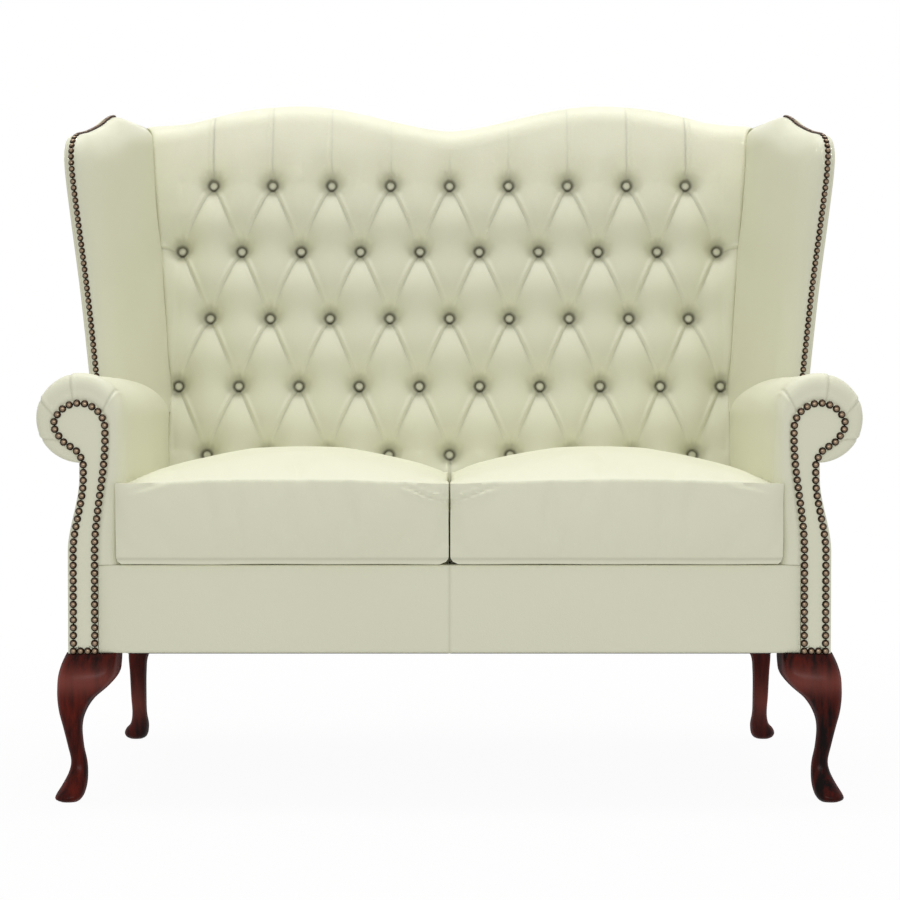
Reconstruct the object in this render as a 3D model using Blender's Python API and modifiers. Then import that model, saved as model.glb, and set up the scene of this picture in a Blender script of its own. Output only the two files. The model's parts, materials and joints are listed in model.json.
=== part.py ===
"""Two-seat wing sofa with a buttoned back, loose seat cushions and cabriole legs.

Lengths are in metres. X runs to the viewer's right, Y to the back and Z up. Depths are first
worked out as setbacks behind the front plane of the arm facings, and y_at turns a setback
into a Y. Left is the viewer's left. The two halves mirror each other.
"""

import math

import bmesh
import bpy
from mathutils import Matrix, Vector

# Fits
FIT = 0.0004                      # gap between two pieces that touch
CUSHION_SIDE_GAP = 0.0010         # gap between a seat cushion and an arm
CUSHION_MIDDLE_GAP = 0.0050       # gap between the two seat cushions
CUSHION_BACK_GAP = 0.0020         # gap between a seat cushion and the inside back

# Heights
LEG_HEIGHT = 0.2285
RAIL_HEIGHT = 0.101
SPRING_WIRE = 0.0036
PLATFORM_THICKNESS = 0.026
COVER_THICKNESS = 0.005           # leather on its backing: border, outside panels
CUSHION_EDGE = 0.128              # height of a seat cushion at its edges
CUSHION_CROWN = 0.040             # further height at its middle
CUSHION_ROUND = 0.016             # soft edges of a seat cushion
ARM_HEIGHT = 0.658
BACK_HUMP = 1.166                 # top of the two humps of the camel line
BACK_DIP = 1.118                  # the dip between them
BACK_SHOULDER = 1.124             # the dips beside the wings
WING_TOP = 1.132                  # hump of a wing
WING_SHOULDER = 1.078             # round front corner of a wing

# Widths
SEAT_WIDTH = 1.009                # between the inside arms
ARM_BASE = 0.0832                 # thickness of an arm at its foot
ARM_WAIST = 0.0162                # how far the outside arm draws in below the scroll
ROLL_RADIUS = 0.0658              # arm scroll
ARM_PADDING = 0.0258              # stuffing over the arm frame
HUMP_HALF_SPAN = 0.265            # half the distance between the humps

# Depths
FACING_THICKNESS = 0.0096
CUSHION_OVERHANG = 0.004          # cushion front ahead of the facings
TUCK_ROOM = 0.052                 # back padding behind a cushion, at the kink
FRAME_DEPTH = 0.573               # facing plane to the front of the back posts
POST_DEPTH = 0.040
POST_WIDTH = 0.045
RAIL_THICKNESS = 0.025
SIDE_RAIL_THICKNESS = 0.029
POST_KINK = 0.440                 # height where the back posts start to lean
BACK_RAKE = math.radians(14.2)
WING_FRONT = 0.312                # setback of the front edge of a wing
WING_FLARE = 0.210                # outward run of a wing for each metre forward
WING_LEAN = 0.110                # outward run of a wing for each metre up
WING_SET_IN = 0.0050              # wing root inside the line of the inside arm
WING_PADDING = 0.020
WING_BOARD = 0.018
WING_WRAP = 0.010                 # leather and wadding over the edge of the wing board
WING_BOW = 0.004                  # bow of the front edge of a wing
WING_CORNER = 0.034               # round front corner of a wing
WING_CREST = 0.290                # hump of a wing behind its front edge
WING_RUN_OUT = 0.035              # wing edge starts to fall this far ahead of the posts
WING_END = 0.016                  # rear end of a wing edge below the shoulder of the back
WING_TUCK = 0.045                 # inside wing below the top of the arm
TRIM = 0.004                      # small allowance where a cut trims a piece

# Buttoned back
BUTTON_MARGIN = 0.014             # end button of a long row inside the arm
TOP_PLEAT = 0.1034                # top row of buttons below the dip, along the lean
FIRST_ROW = 0.084                 # lowest row above the kink, along the lean
TUFT_ROWS = 4                     # spaces between the five rows
TUFT_HALF = 4.5                   # pitches from the middle to the end button of a long row
TUFT_DEPTH = 0.040
FOAM_AT_BUTTON = 0.016
HESSIAN = 0.0015
BACK_LIP = 0.045                  # round of the top edge of the inside back
TOP_TUCK = 0.008                  # outside back below the top of the inside back
BACK_SPREAD = 0.030               # outward run of the outside back for each metre up
PIT_RADIUS = 0.026                # dimple beyond the end rows
PLEAT_WIDTH = 0.012               # pleat beyond the end rows
EDGE_FOAM = 0.003                 # least padding at an edge
CAMEL_RUN_OUT = 0.020             # the camel line is level this far inside the arms
TOP_RAIL_HEIGHT = 0.100           # below the lowest place of the camel line
TOP_RAIL_COVER = 0.022            # padding over the top rail
TUCK_RAIL_HEIGHT = 0.050
HESSIAN_LAP = 0.030               # hessian over the top rail
POST_DROP = 0.030                 # back posts below the shoulder of the back

# Facing and its nails
FACING_MARGIN = 0.0102            # nail row inside the outside arm
FACING_LEG = 0.033                # between the two nail rows at the foot
HEAD_RADIUS = 0.0385              # nail row round the scroll
HEAD_DROP = 0.0180                # centre of that round below the scroll centre
NAIL_HEAD = 0.0110
NAIL_RISE = 0.0040
NAIL_EDGE = 0.0040                # leather outside the middle of a nail row
WAIST_DROP = 0.0922               # narrow waist of the arm below the scroll centre
WAIST_RUN = 0.115                 # height over which the outside arm draws in
HEAD_SHIFT = 0.002                # nail row set in from the scroll centre

# Legs
TOE_OVERHANG = 0.0170             # front foot outside the corner of the frame
KNEE_WIDTH = 0.0820               # front leg at its top
REAR_LEG_WIDTH = 0.052
FOOT_KICK = 0.030                 # rear foot behind its top
FOOT_SPLAY = 0.022                # rear foot outside its top
BOLT_RADIUS = 0.0040
BOLT_LENGTH = 0.110
BOLT_IN_LEG = 0.050
BOLT_SET_IN = 0.026               # front bolt inside its arm post

# Seat frame
SPRINGS_PER_SEAT = 4
SPRING_EDGE = 0.0101              # outer spring pitch inside the back posts
SPRING_TAIL = 0.005               # wire short of the outer face of a rail
SPRING_AMPLITUDE = 0.024
SPRING_BENDS = 14
CORNER_BLOCK = 0.085
BLOCK_HEIGHT = 0.060
CORE_INSET = 0.012                # foam core inside its cover
ZIP_SLOT = 0.006
BORDER_RETURN = 0.100             # front border over the deck
DUST_SHEET = 0.0015
DUST_CLEAR = 0.008                # dust cover clear of a leg
HOLE_RUN_OUT = 0.020              # a drill passes a face by this

# Derived places
SEAT_HALF = SEAT_WIDTH / 2
SEAT_DEPTH = FRAME_DEPTH + CUSHION_OVERHANG - TUCK_ROOM
ROLL_X = SEAT_HALF + ROLL_RADIUS
ROLL_Z = ARM_HEIGHT - ROLL_RADIUS
ROLL_INNER = ROLL_RADIUS - ARM_PADDING
SWEEP_HIGH = ROLL_Z - WAIST_DROP
SWEEP_LOW = SWEEP_HIGH - WAIST_RUN
BASE_OUTER = SEAT_HALF + ARM_BASE
FRAME_BOTTOM = LEG_HEIGHT + FIT
RAIL_TOP = FRAME_BOTTOM + RAIL_HEIGHT
SPRING_TOP = RAIL_TOP + FIT + SPRING_WIRE
PLATFORM_TOP = SPRING_TOP + FIT + PLATFORM_THICKNESS
DECK_TOP = PLATFORM_TOP + FIT + COVER_THICKNESS
CUSHION_BOTTOM = DECK_TOP + FIT
CUSHION_TOP = CUSHION_BOTTOM + CUSHION_EDGE
WOOD_FRONT = FACING_THICKNESS + FIT
RAIL_REAR = WOOD_FRONT + RAIL_THICKNESS
ARM_POST_INNER = SEAT_HALF + ARM_PADDING + FIT
POST_OUTER = BASE_OUTER - ARM_WAIST - 2 * COVER_THICKNESS - 6 * FIT
POST_INNER = POST_OUTER - POST_WIDTH
LEAN = math.tan(BACK_RAKE)
SPRING_SPREAD = (POST_INNER - SPRING_EDGE) / SPRINGS_PER_SEAT
BUTTON_PITCH = (SEAT_WIDTH - 2 * BUTTON_MARGIN) / (2 * TUFT_HALF)
ROW_PITCH = ((BACK_DIP - POST_KINK) / math.cos(BACK_RAKE) - FIRST_ROW - TOP_PLEAT) / TUFT_ROWS
PAD_REAR = HESSIAN + 2 * FIT
TUFT_BASE = PAD_REAR + FOAM_AT_BUTTON
ARM_RAIL_TOP = ROLL_Z + 0.2 * ROLL_INNER
WING_OUTER = WING_PADDING + WING_BOARD + 2 * FIT
REARMOST = (FRAME_DEPTH + (BACK_HUMP - TOP_TUCK - POST_KINK) * LEAN
            + (POST_DEPTH + FIT + COVER_THICKNESS) / math.cos(BACK_RAKE))
FRONT_Y = -(REARMOST - TOE_OVERHANG) / 2
SIDES = (("left", -1.0), ("right", 1.0))


def y_at(setback):
    """Turn a setback behind the facing plane into a Y."""
    return FRONT_Y + setback


def post_front(height):
    """Setback of the front of the back posts at a height."""
    return FRAME_DEPTH + max(0.0, height - POST_KINK) * LEAN


def smooth(value):
    """Smooth step from 0 to 1."""
    held = min(1.0, max(0.0, value))
    return held * held * (3.0 - 2.0 * held)


def sweep(height):
    """Share of the waist that the outside arm has drawn in at a height."""
    return smooth((height - SWEEP_LOW) / (SWEEP_HIGH - SWEEP_LOW))


def outer_side(height):
    """X of the outside arm at a height below the scroll."""
    return BASE_OUTER - ARM_WAIST * sweep(height)


def camel(x):
    """Height of the top of the back at an X."""
    away = abs(x)
    if away < HUMP_HALF_SPAN:
        rise = smooth(away / HUMP_HALF_SPAN) ** 0.85
        return BACK_DIP + (BACK_HUMP - BACK_DIP) * rise
    run = (away - HUMP_HALF_SPAN) / (SEAT_HALF - CAMEL_RUN_OUT - HUMP_HALF_SPAN)
    fall = run * run if run < 0.8 else 1.0 - 0.36 * math.exp(-(run - 0.8) * 4.4)
    return BACK_HUMP - (BACK_HUMP - BACK_SHOULDER) * min(1.0, fall)


def wing_face(setback, height):
    """X of the leather on the inside of the right wing."""
    root = SEAT_HALF - WING_SET_IN
    return root + WING_LEAN * (height - ARM_HEIGHT) + WING_FLARE * (post_front(ARM_HEIGHT) - setback)


def wing_rear(height):
    """Setback of the rear edge of a wing, against the hessian on the posts."""
    return post_front(height) - PAD_REAR / math.cos(BACK_RAKE)


def back_edge(height, forward):
    """Half width of the inside back at a height and a distance forward off the posts."""
    setback = post_front(height) - forward / math.cos(BACK_RAKE)
    beside = wing_face(setback, max(height, ARM_HEIGHT - 10 * TRIM))
    if height < ARM_HEIGHT + 2.5 * TRIM:
        beside = min(beside, SEAT_HALF)
    return beside - 3 * FIT


def arc(centre, radius, start, end, steps):
    """Points along an arc, angles in degrees."""
    angles = [math.radians(start + (end - start) * i / steps) for i in range(steps + 1)]
    return [(centre[0] + radius * math.cos(a), centre[1] + radius * math.sin(a)) for a in angles]


def through(points, steps):
    """A smooth line through points, with steps pieces between neighbours."""
    ends = [points[0]] + list(points) + [points[-1]]
    line = []
    for a, b, c, d in zip(ends, ends[1:], ends[2:], ends[3:]):
        for i in range(steps):
            t = i / steps
            line.append(tuple(0.5 * (2 * b[k] + (c[k] - a[k]) * t
                                     + (2 * a[k] - 5 * b[k] + 4 * c[k] - d[k]) * t * t
                                     + (3 * b[k] - a[k] - 3 * c[k] + d[k]) * t ** 3)
                              for k in range(2)))
    return line + [tuple(points[-1])]


def shifted(path, distance):
    """The open path moved sideways to its left by a distance, with mitred bends."""
    normals = []
    for a, b in zip(path, path[1:]):
        run = Vector((b[0] - a[0], b[1] - a[1])).normalized()
        normals.append(Vector((-run.y, run.x)))
    ends = [normals[0]] + normals + [normals[-1]]
    moved = []
    for point, before, after in zip(path, ends, ends[1:]):
        middle = (before + after).normalized()
        reach = distance / max(0.4, middle.dot(after))
        moved.append((point[0] + middle.x * reach, point[1] + middle.y * reach))
    return moved


def band(path, inner, outer):
    """Closed outline of a strip between two sideways shifts of a path."""
    return shifted(path, outer) + shifted(path, inner)[::-1]


def mirrored(outline, side):
    """The outline with its first coordinate turned to a side."""
    return [(side * a, b) for a, b in outline]


def make_material(name, colour, roughness, metallic=0.0):
    """A Principled material."""
    made = bpy.data.materials.new(name)
    made.use_nodes = True
    shader = made.node_tree.nodes["Principled BSDF"]
    shader.inputs["Base Color"].default_value = (*colour, 1.0)
    shader.inputs["Roughness"].default_value = roughness
    shader.inputs["Metallic"].default_value = metallic
    return made


def sofa_collection():
    """The collection that holds the sofa's pieces."""
    name = "wing_sofa"
    if name not in bpy.data.collections:
        bpy.context.scene.collection.children.link(bpy.data.collections.new(name))
    return bpy.data.collections[name]


def ease(mesh):
    """Shade a mesh smooth across its gentle edges."""
    mesh.shade_smooth()
    mesh.set_sharp_from_angle(angle=math.radians(32))


def link(name, data, finish, matrix=None):
    """Put data into the scene as a named object with its own material."""
    made = bpy.data.objects.new(name, data)
    colour, roughness, metallic = finish
    data.materials.append(make_material(name + "_finish", colour, roughness, metallic))
    sofa_collection().objects.link(made)
    if matrix is not None:
        made.matrix_world = matrix
    return made


def from_bmesh(name, bm, finish, matrix=None):
    """Turn a bmesh into a named object."""
    bmesh.ops.recalc_face_normals(bm, faces=bm.faces)
    mesh = bpy.data.meshes.new(name)
    bm.to_mesh(mesh)
    bm.free()
    ease(mesh)
    return link(name, mesh, finish, matrix)


def outline_curve(name, outline, thickness):
    """A flat outline as a filled curve with a thickness."""
    curve = bpy.data.curves.new(name, "CURVE")
    curve.dimensions = "2D"
    curve.fill_mode = "BOTH"
    curve.extrude = thickness / 2
    spline = curve.splines.new("POLY")
    spline.points.add(len(outline) - 1)
    for point, place in zip(spline.points, outline):
        point.co = (place[0], place[1], 0.0, 1.0)
    spline.use_cyclic_u = True
    return curve


def prism(name, outline, thickness, matrix, finish):
    """A flat outline with a thickness, as a mesh, centred on the plane of its matrix."""
    curve = outline_curve(name, outline, thickness)
    holder = bpy.data.objects.new(name + "_curve", curve)
    bpy.context.scene.collection.objects.link(holder)
    bpy.context.view_layer.update()
    mesh = bpy.data.meshes.new_from_object(holder.evaluated_get(bpy.context.evaluated_depsgraph_get()))
    bpy.data.objects.remove(holder)
    bpy.data.curves.remove(curve)
    bm = bmesh.new()
    bm.from_mesh(mesh)
    bpy.data.meshes.remove(mesh)
    bmesh.ops.remove_doubles(bm, verts=bm.verts, dist=1e-6)
    return from_bmesh(name, bm, finish, matrix)


def box(name, low, high, finish):
    """A plain block between two corners."""
    bm = bmesh.new()
    bmesh.ops.create_cube(bm, size=1.0)
    size = [b - a for a, b in zip(low, high)]
    middle = [(a + b) / 2 for a, b in zip(low, high)]
    bmesh.ops.scale(bm, vec=size, verts=bm.verts)
    bmesh.ops.translate(bm, vec=middle, verts=bm.verts)
    return from_bmesh(name, bm, finish)


def rod(name, centre, radius, low, high, finish, sides=10):
    """An upright round bar."""
    bm = bmesh.new()
    bmesh.ops.create_cone(bm, cap_ends=True, segments=sides, radius1=radius, radius2=radius,
                          depth=high - low)
    bmesh.ops.translate(bm, vec=(centre[0], centre[1], (low + high) / 2), verts=bm.verts)
    return from_bmesh(name, bm, finish)


def cut(target, tool):
    """Cut a tool out of a target; the tool goes."""
    combine(target, tool, "DIFFERENCE")


def join(target, tool):
    """Join a tool to a target; the tool goes."""
    combine(target, tool, "UNION")


def combine(target, tool, operation):
    """Apply a Boolean of a tool to a target and remove the tool."""
    change = target.modifiers.new("combine", "BOOLEAN")
    change.operation = operation
    change.solver = "EXACT"
    change.object = tool
    bpy.context.view_layer.update()
    graph = bpy.context.evaluated_depsgraph_get()
    mesh = bpy.data.meshes.new_from_object(target.evaluated_get(graph))
    target.modifiers.clear()
    material = target.data.materials[0]
    old = target.data
    target.data = mesh
    mesh.materials.clear()
    mesh.materials.append(material)
    ease(mesh)
    bpy.data.meshes.remove(old)
    bpy.data.objects.remove(tool)


def standing(setback):
    """Frame whose flat plane is X and Z at a setback, with its normal to the front."""
    return Matrix(((1, 0, 0, 0), (0, 0, -1, y_at(setback)), (0, 1, 0, 0), (0, 0, 0, 1)))


def sideways(x):
    """Frame whose flat plane is setback and Z at an X."""
    return Matrix(((0, 0, 1, x), (1, 0, 0, FRONT_Y), (0, 1, 0, 0), (0, 0, 0, 1)))


def lying(height):
    """Frame whose flat plane is X and setback at a height."""
    return Matrix(((1, 0, 0, 0), (0, 1, 0, FRONT_Y), (0, 0, 1, height), (0, 0, 0, 1)))


def leaning(forward=0.0):
    """Frame of the back: X, up along the lean from the kink, and forward off the posts."""
    c, s = math.cos(BACK_RAKE), math.sin(BACK_RAKE)
    frame = Matrix(((1, 0, 0, 0), (0, s, -c, y_at(FRAME_DEPTH)), (0, c, s, POST_KINK), (0, 0, 0, 1)))
    return frame @ Matrix.Translation((0, 0, forward))


def wing_axes(side):
    """Frame of a wing: forward, up, and square to its face, from the root at arm height."""
    forward = Vector((WING_FLARE * side, -1.0, 0.0)).normalized()
    up = Vector((WING_LEAN * side, 0.0, 1.0))
    normal = forward.cross(up).normalized()
    up = normal.cross(forward)
    root = Vector((side * wing_face(post_front(ARM_HEIGHT), ARM_HEIGHT),
                   y_at(post_front(ARM_HEIGHT)), ARM_HEIGHT))
    frame = Matrix((forward, up, normal)).transposed().to_4x4()
    frame.translation = root
    return frame


def wing_flat(points):
    """Setbacks and heights on a wing's face turned into its own flat coordinates."""
    back = wing_axes(1.0).inverted()
    flat = []
    for setback, height in points:
        place = back @ Vector((wing_face(setback, height), y_at(setback), height))
        flat.append((place.x, place.y))
    return flat


def wing_line():
    """Front and top edge of a wing from below the arm top to the back, flat."""
    shoulder = WING_SHOULDER
    rise = WING_TOP - shoulder
    front, corner, crest = WING_FRONT, WING_CORNER, WING_CREST
    points = [(front, ARM_RAIL_TOP - 5 * WING_BOW), (front + WING_BOW, ARM_HEIGHT + 4 * corner),
              (front - 0.5 * WING_BOW, shoulder - 4.4 * corner), (front - WING_BOW, shoulder - 2.2 * corner),
              (front + WING_BOW, shoulder - corner), (front + 0.88 * corner, shoulder - 0.235 * corner),
              (front + 0.293 * crest, shoulder + 0.10 * rise), (front + 0.517 * crest, shoulder + 0.46 * rise),
              (front + 0.741 * crest, shoulder + 0.90 * rise), (front + crest, WING_TOP),
              (post_front(BACK_SHOULDER) - WING_RUN_OUT, (WING_TOP + BACK_SHOULDER - WING_END) / 2),
              (wing_rear(BACK_SHOULDER), BACK_SHOULDER - WING_END)]
    return wing_flat(through(points, 3))


def wing_outline(inset, foot):
    """Closed outline of a wing, its edge moved in, down to a foot height at the rear."""
    edge = shifted(wing_line(), inset)
    high = BACK_SHOULDER - WING_END - 1.5 * TRIM
    behind = [(wing_rear(h) + TRIM, h) for h in (high, ARM_HEIGHT, foot)]
    base = wing_flat([(WING_FRONT, foot)])[0]
    edge = [p for p in edge if p[1] > base[1] + TRIM]
    rear = wing_flat(behind)
    keep = [p for p in edge if p[0] > rear[0][0] + TRIM]
    first = (keep[0][0], base[1])
    return [first] + keep + rear


def back_space():
    """The space behind the face of the hessian, to trim the rear edge of a wing piece."""
    depth = 2 * POST_DEPTH
    tall = max(BACK_HUMP, WING_TOP)
    wide = SEAT_WIDTH
    outline = [(-wide, 0.0), (wide, 0.0), (wide, tall), (-wide, tall)]
    return prism("back_space", outline, depth, leaning(PAD_REAR - depth / 2), BEECH)


def post_space():
    """The space behind the posts' bent front, to trim the rear end of an arm pad."""
    top = ARM_HEIGHT + WING_TUCK
    far = post_front(top) + 2 * POST_DEPTH
    kink = POST_KINK + (PAD_REAR / math.cos(BACK_RAKE) - FIT) / LEAN
    outline = [(FRAME_DEPTH - FIT, 0.0), (FRAME_DEPTH - FIT, kink), (wing_rear(top), top), (far, top), (far, 0.0)]
    return prism("post_space", outline, 3 * SEAT_WIDTH, sideways(0.0), BEECH)


def wing_prism(name, side, outline, near, far, finish):
    """A flat piece of a wing between two depths behind its inside face."""
    frame = wing_axes(side) @ Matrix.Translation((0, 0, -side * (near + far) / 2))
    return prism(name, outline, far - near, frame, finish)


def roll_path(radius, low):
    """Inside arm and scroll as one line: up the inside, over the top and under."""
    return [(ROLL_X - radius, low), (ROLL_X - radius, ROLL_Z)] + \
        arc((ROLL_X, ROLL_Z), radius, 180, -85, 26)[1:]


def side_line():
    """Outside arm as one line from the foot up to the scroll."""
    top = ROLL_Z - ROLL_RADIUS - 2 * FIT
    heights = [FRAME_BOTTOM] + [SWEEP_LOW + (SWEEP_HIGH - SWEEP_LOW) * i / 6 for i in range(7)] + [top]
    return [(outer_side(h), h) for h in heights]


def arm_envelope(grow):
    """Outline of a whole padded arm, grown a little."""
    radius = ROLL_RADIUS + grow
    return [(ROLL_X - radius, DECK_TOP)] + arc((ROLL_X, ROLL_Z), radius, 180, -60, 24) + \
        [(ROLL_X, DECK_TOP)]


def nail_line():
    """Nail row of a facing: up outside, round the scroll and down inside."""
    outside = BASE_OUTER - FACING_MARGIN
    inside = outside - FACING_LEG
    head = (ROLL_X - HEAD_SHIFT, ROLL_Z - HEAD_DROP)
    size = HEAD_RADIUS
    low = FRAME_BOTTOM + NAIL_EDGE
    neck = head[1] - 1.25 * size
    heights = [low] + [SWEEP_LOW + (SWEEP_HIGH - SWEEP_LOW) * i / 5 for i in range(6)]
    up = [(outside - ARM_WAIST * sweep(h), h) for h in heights]
    flank = through([(up[-1][0], neck), (up[-1][0] + 0.26 * size, neck + 0.44 * size),
                     (head[0] + 0.61 * size, head[1] - 0.4545 * size),
                     (head[0] + 0.948 * size, head[1] + 0.052 * size)], 3)
    over = arc((head[0], head[1] + 0.026 * size), size, 12, 180, 12)
    shift = inside - (head[0] - size)
    span = head[1] - 0.312 * size - SWEEP_LOW
    down = [(inside - shift * sweep_back, SWEEP_LOW + span * i / 5)
            for i, sweep_back in ((k, smooth(k / 5)) for k in range(5, -1, -1))]
    return up + flank + over + down + [(inside, low)]


def superellipse(low, high, power, count):
    """Ring of points round a rounded rectangle between two corners."""
    ring = []
    middle = [(a + b) / 2 for a, b in zip(low, high)]
    half = [(b - a) / 2 for a, b in zip(low, high)]
    for i in range(count):
        turn = 2 * math.pi * i / count
        c, s = math.cos(turn), math.sin(turn)
        ring.append((middle[0] + half[0] * math.copysign(abs(c) ** (2 / power), c),
                     middle[1] + half[1] * math.copysign(abs(s) ** (2 / power), s)))
    return ring


def loft(name, rings, finish):
    """A solid through level rings of as many points each."""
    bm = bmesh.new()
    rows = [[bm.verts.new(point) for point in ring] for ring in rings]
    count = len(rows[0])
    for below, above in zip(rows, rows[1:]):
        for i in range(count):
            j = (i + 1) % count
            bm.faces.new((below[i], below[j], above[j], above[i]))
    bm.faces.new(rows[0][::-1])
    bm.faces.new(rows[-1])
    return from_bmesh(name, bm, finish)


LEATHER = ((0.62, 0.60, 0.47), 0.45, 0.0)
MAHOGANY = ((0.09, 0.018, 0.010), 0.22, 0.0)
BEECH = ((0.52, 0.36, 0.20), 0.60, 0.0)
STEEL = ((0.45, 0.45, 0.46), 0.35, 1.0)
BRONZE = ((0.11, 0.06, 0.04), 0.35, 1.0)
CLOTH = ((0.60, 0.56, 0.46), 0.90, 0.0)
BLACK_CLOTH = ((0.03, 0.03, 0.03), 0.95, 0.0)
JUTE = ((0.42, 0.31, 0.18), 0.95, 0.0)
FOAM = ((0.80, 0.76, 0.58), 0.95, 0.0)


def build_seat_frame():
    """Rails, corner blocks, springs, platform and dust cover."""
    inner = ARM_POST_INNER - FIT
    box("front_seat_rail", (-inner, y_at(WOOD_FRONT), FRAME_BOTTOM),
        (inner, y_at(RAIL_REAR), RAIL_TOP), BEECH)
    rear = FRAME_DEPTH + RAIL_THICKNESS
    box("rear_seat_rail", (-POST_INNER + FIT, y_at(FRAME_DEPTH), FRAME_BOTTOM),
        (POST_INNER - FIT, y_at(rear), RAIL_TOP), BEECH)
    side_inner = POST_OUTER - SIDE_RAIL_THICKNESS
    for label, side in SIDES:
        ends = sorted((side * side_inner, side * POST_OUTER))
        box(label + "_seat_rail", (ends[0], y_at(RAIL_REAR + FIT), FRAME_BOTTOM),
            (ends[1], y_at(FRAME_DEPTH - FIT), RAIL_TOP), BEECH)
        for place, corner, run in (("front", RAIL_REAR + FIT, 1.0), ("rear", FRAME_DEPTH - FIT, -1.0)):
            reach = side_inner - FIT
            outline = [(reach, corner), (reach - CORNER_BLOCK, corner), (reach, corner + run * CORNER_BLOCK)]
            prism(place + "_" + label + "_corner_block", mirrored(outline, side), BLOCK_HEIGHT,
                  lying(FRAME_BOTTOM + BLOCK_HEIGHT / 2), BEECH)
    half = RAIL_THICKNESS / 2
    box("centre_seat_rail", (-half, y_at(RAIL_REAR + FIT), FRAME_BOTTOM),
        (half, y_at(FRAME_DEPTH - FIT), RAIL_TOP - 0.3 * RAIL_HEIGHT), BEECH)
    build_springs()
    box("seat_platform", (-inner, y_at(WOOD_FRONT), SPRING_TOP + FIT),
        (inner, y_at(FRAME_DEPTH - FIT), PLATFORM_TOP), CLOTH)
    reach = BASE_OUTER - 2 * COVER_THICKNESS
    narrow = BASE_OUTER - KNEE_WIDTH - DUST_CLEAR
    near = WOOD_FRONT + FIT
    notch = KNEE_WIDTH + DUST_CLEAR
    back_notch = FRAME_DEPTH + (POST_DEPTH - REAR_LEG_WIDTH) / 2 - DUST_CLEAR
    back = FRAME_DEPTH + RAIL_THICKNESS
    half_outline = [(narrow, near), (narrow, notch), (reach, notch), (reach, back_notch),
                    (narrow, back_notch), (narrow, back)]
    outline = half_outline + [(-x, u) for x, u in half_outline[::-1]]
    prism("dust_cover", outline, DUST_SHEET, lying(FRAME_BOTTOM - FIT - DUST_SHEET / 2), BLACK_CLOTH)


def build_springs():
    """Sinuous springs from the front rail to the rear rail."""
    start = WOOD_FRONT + SPRING_TAIL
    run = (FRAME_DEPTH + RAIL_THICKNESS - SPRING_TAIL - start) / SPRING_BENDS
    number = 0
    for label, side in SIDES:
        for place in range(SPRINGS_PER_SEAT):
            number = place + 1
            middle = side * SPRING_SPREAD * (place + 0.5)
            points = []
            for bend in range(SPRING_BENDS):
                way = SPRING_AMPLITUDE if bend % 2 else -SPRING_AMPLITUDE
                points += [(middle + way, start + run * bend), (middle + way, start + run * (bend + 1))]
            curve = bpy.data.curves.new("spring", "CURVE")
            curve.dimensions = "3D"
            curve.bevel_depth = SPRING_WIRE / 2
            curve.bevel_resolution = 0
            curve.use_fill_caps = True
            spline = curve.splines.new("POLY")
            spline.points.add(len(points) - 1)
            for point, (x, setback) in zip(spline.points, points):
                point.co = (x, y_at(setback), SPRING_TOP - SPRING_WIRE / 2, 1.0)
            link(label + "_seat_spring_" + str(number), curve, STEEL)


def build_arm_wood():
    """Arm posts and the rails inside the scrolls."""
    head = arc((ROLL_X, ROLL_Z), ROLL_INNER - FIT, 180, -95, 24)
    flank = shifted(side_line(), COVER_THICKNESS + FIT)[::-1]
    outline = [(ARM_POST_INNER, FRAME_BOTTOM)] + head + flank
    rail_half = math.sqrt((ROLL_INNER - FIT) ** 2 - (0.45 * ROLL_INNER) ** 2) - 3 * FIT
    rail_outer = POST_OUTER - FIT
    for label, side in SIDES:
        post = prism(label + "_arm_post", mirrored(outline, side), RAIL_THICKNESS,
                     standing(WOOD_FRONT + RAIL_THICKNESS / 2), BEECH)
        centre = front_bolt(side)
        cut(post, rod("hole", centre, BOLT_RADIUS + FIT, FRAME_BOTTOM - HOLE_RUN_OUT, bolt_top() + FIT, STEEL))
        ends = sorted((side * (ROLL_X - rail_half), side * rail_outer))
        box(label + "_arm_top_rail", (ends[0], y_at(RAIL_REAR + FIT), ROLL_Z - 0.45 * ROLL_INNER),
            (ends[1], y_at(wing_rear(ROLL_Z - 0.45 * ROLL_INNER) - FIT), ARM_RAIL_TOP), BEECH)


def build_back_wood():
    """Bent posts, the camel top rail, the tuck rail and the hessian."""
    top = BACK_SHOULDER - POST_DROP
    front = [(FRAME_DEPTH, FRAME_BOTTOM), (FRAME_DEPTH, POST_KINK), (post_front(top), top)]
    outline = band(front, 0.0, -POST_DEPTH)
    for label, side in SIDES:
        post = prism(label + "_back_post", outline, POST_WIDTH,
                     sideways(side * (POST_OUTER - POST_WIDTH / 2)), BEECH)
        centre = rear_bolt(side)
        cut(post, rod("hole", centre, BOLT_RADIUS + FIT, FRAME_BOTTOM - HOLE_RUN_OUT, bolt_top() + FIT, STEEL))
    reach = POST_INNER - FIT
    lowest = min(BACK_DIP, BACK_HUMP, BACK_SHOULDER)
    low = (lowest - TOP_RAIL_HEIGHT - POST_KINK) / math.cos(BACK_RAKE)
    steps = 24
    line = []
    for i in range(steps + 1):
        x = reach - 2 * reach * i / steps
        line.append((x, (camel(x) - TOP_RAIL_COVER - POST_KINK) / math.cos(BACK_RAKE)))
    prism("back_top_rail", [(-reach, low), (reach, low)] + line, RAIL_THICKNESS,
          leaning(-RAIL_THICKNESS / 2), BEECH)
    box("back_tuck_rail", (-reach, y_at(FRAME_DEPTH), POST_KINK - TUCK_RAIL_HEIGHT),
        (reach, y_at(FRAME_DEPTH + RAIL_THICKNESS), POST_KINK - FIT), BEECH)
    start = 6 * (HESSIAN + FIT)
    high = low + HESSIAN_LAP
    sheet = [(-POST_OUTER, start), (POST_OUTER, start), (POST_OUTER, high), (-POST_OUTER, high)]
    prism("back_hessian", sheet, HESSIAN, leaning(FIT + HESSIAN / 2), JUTE)


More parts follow.
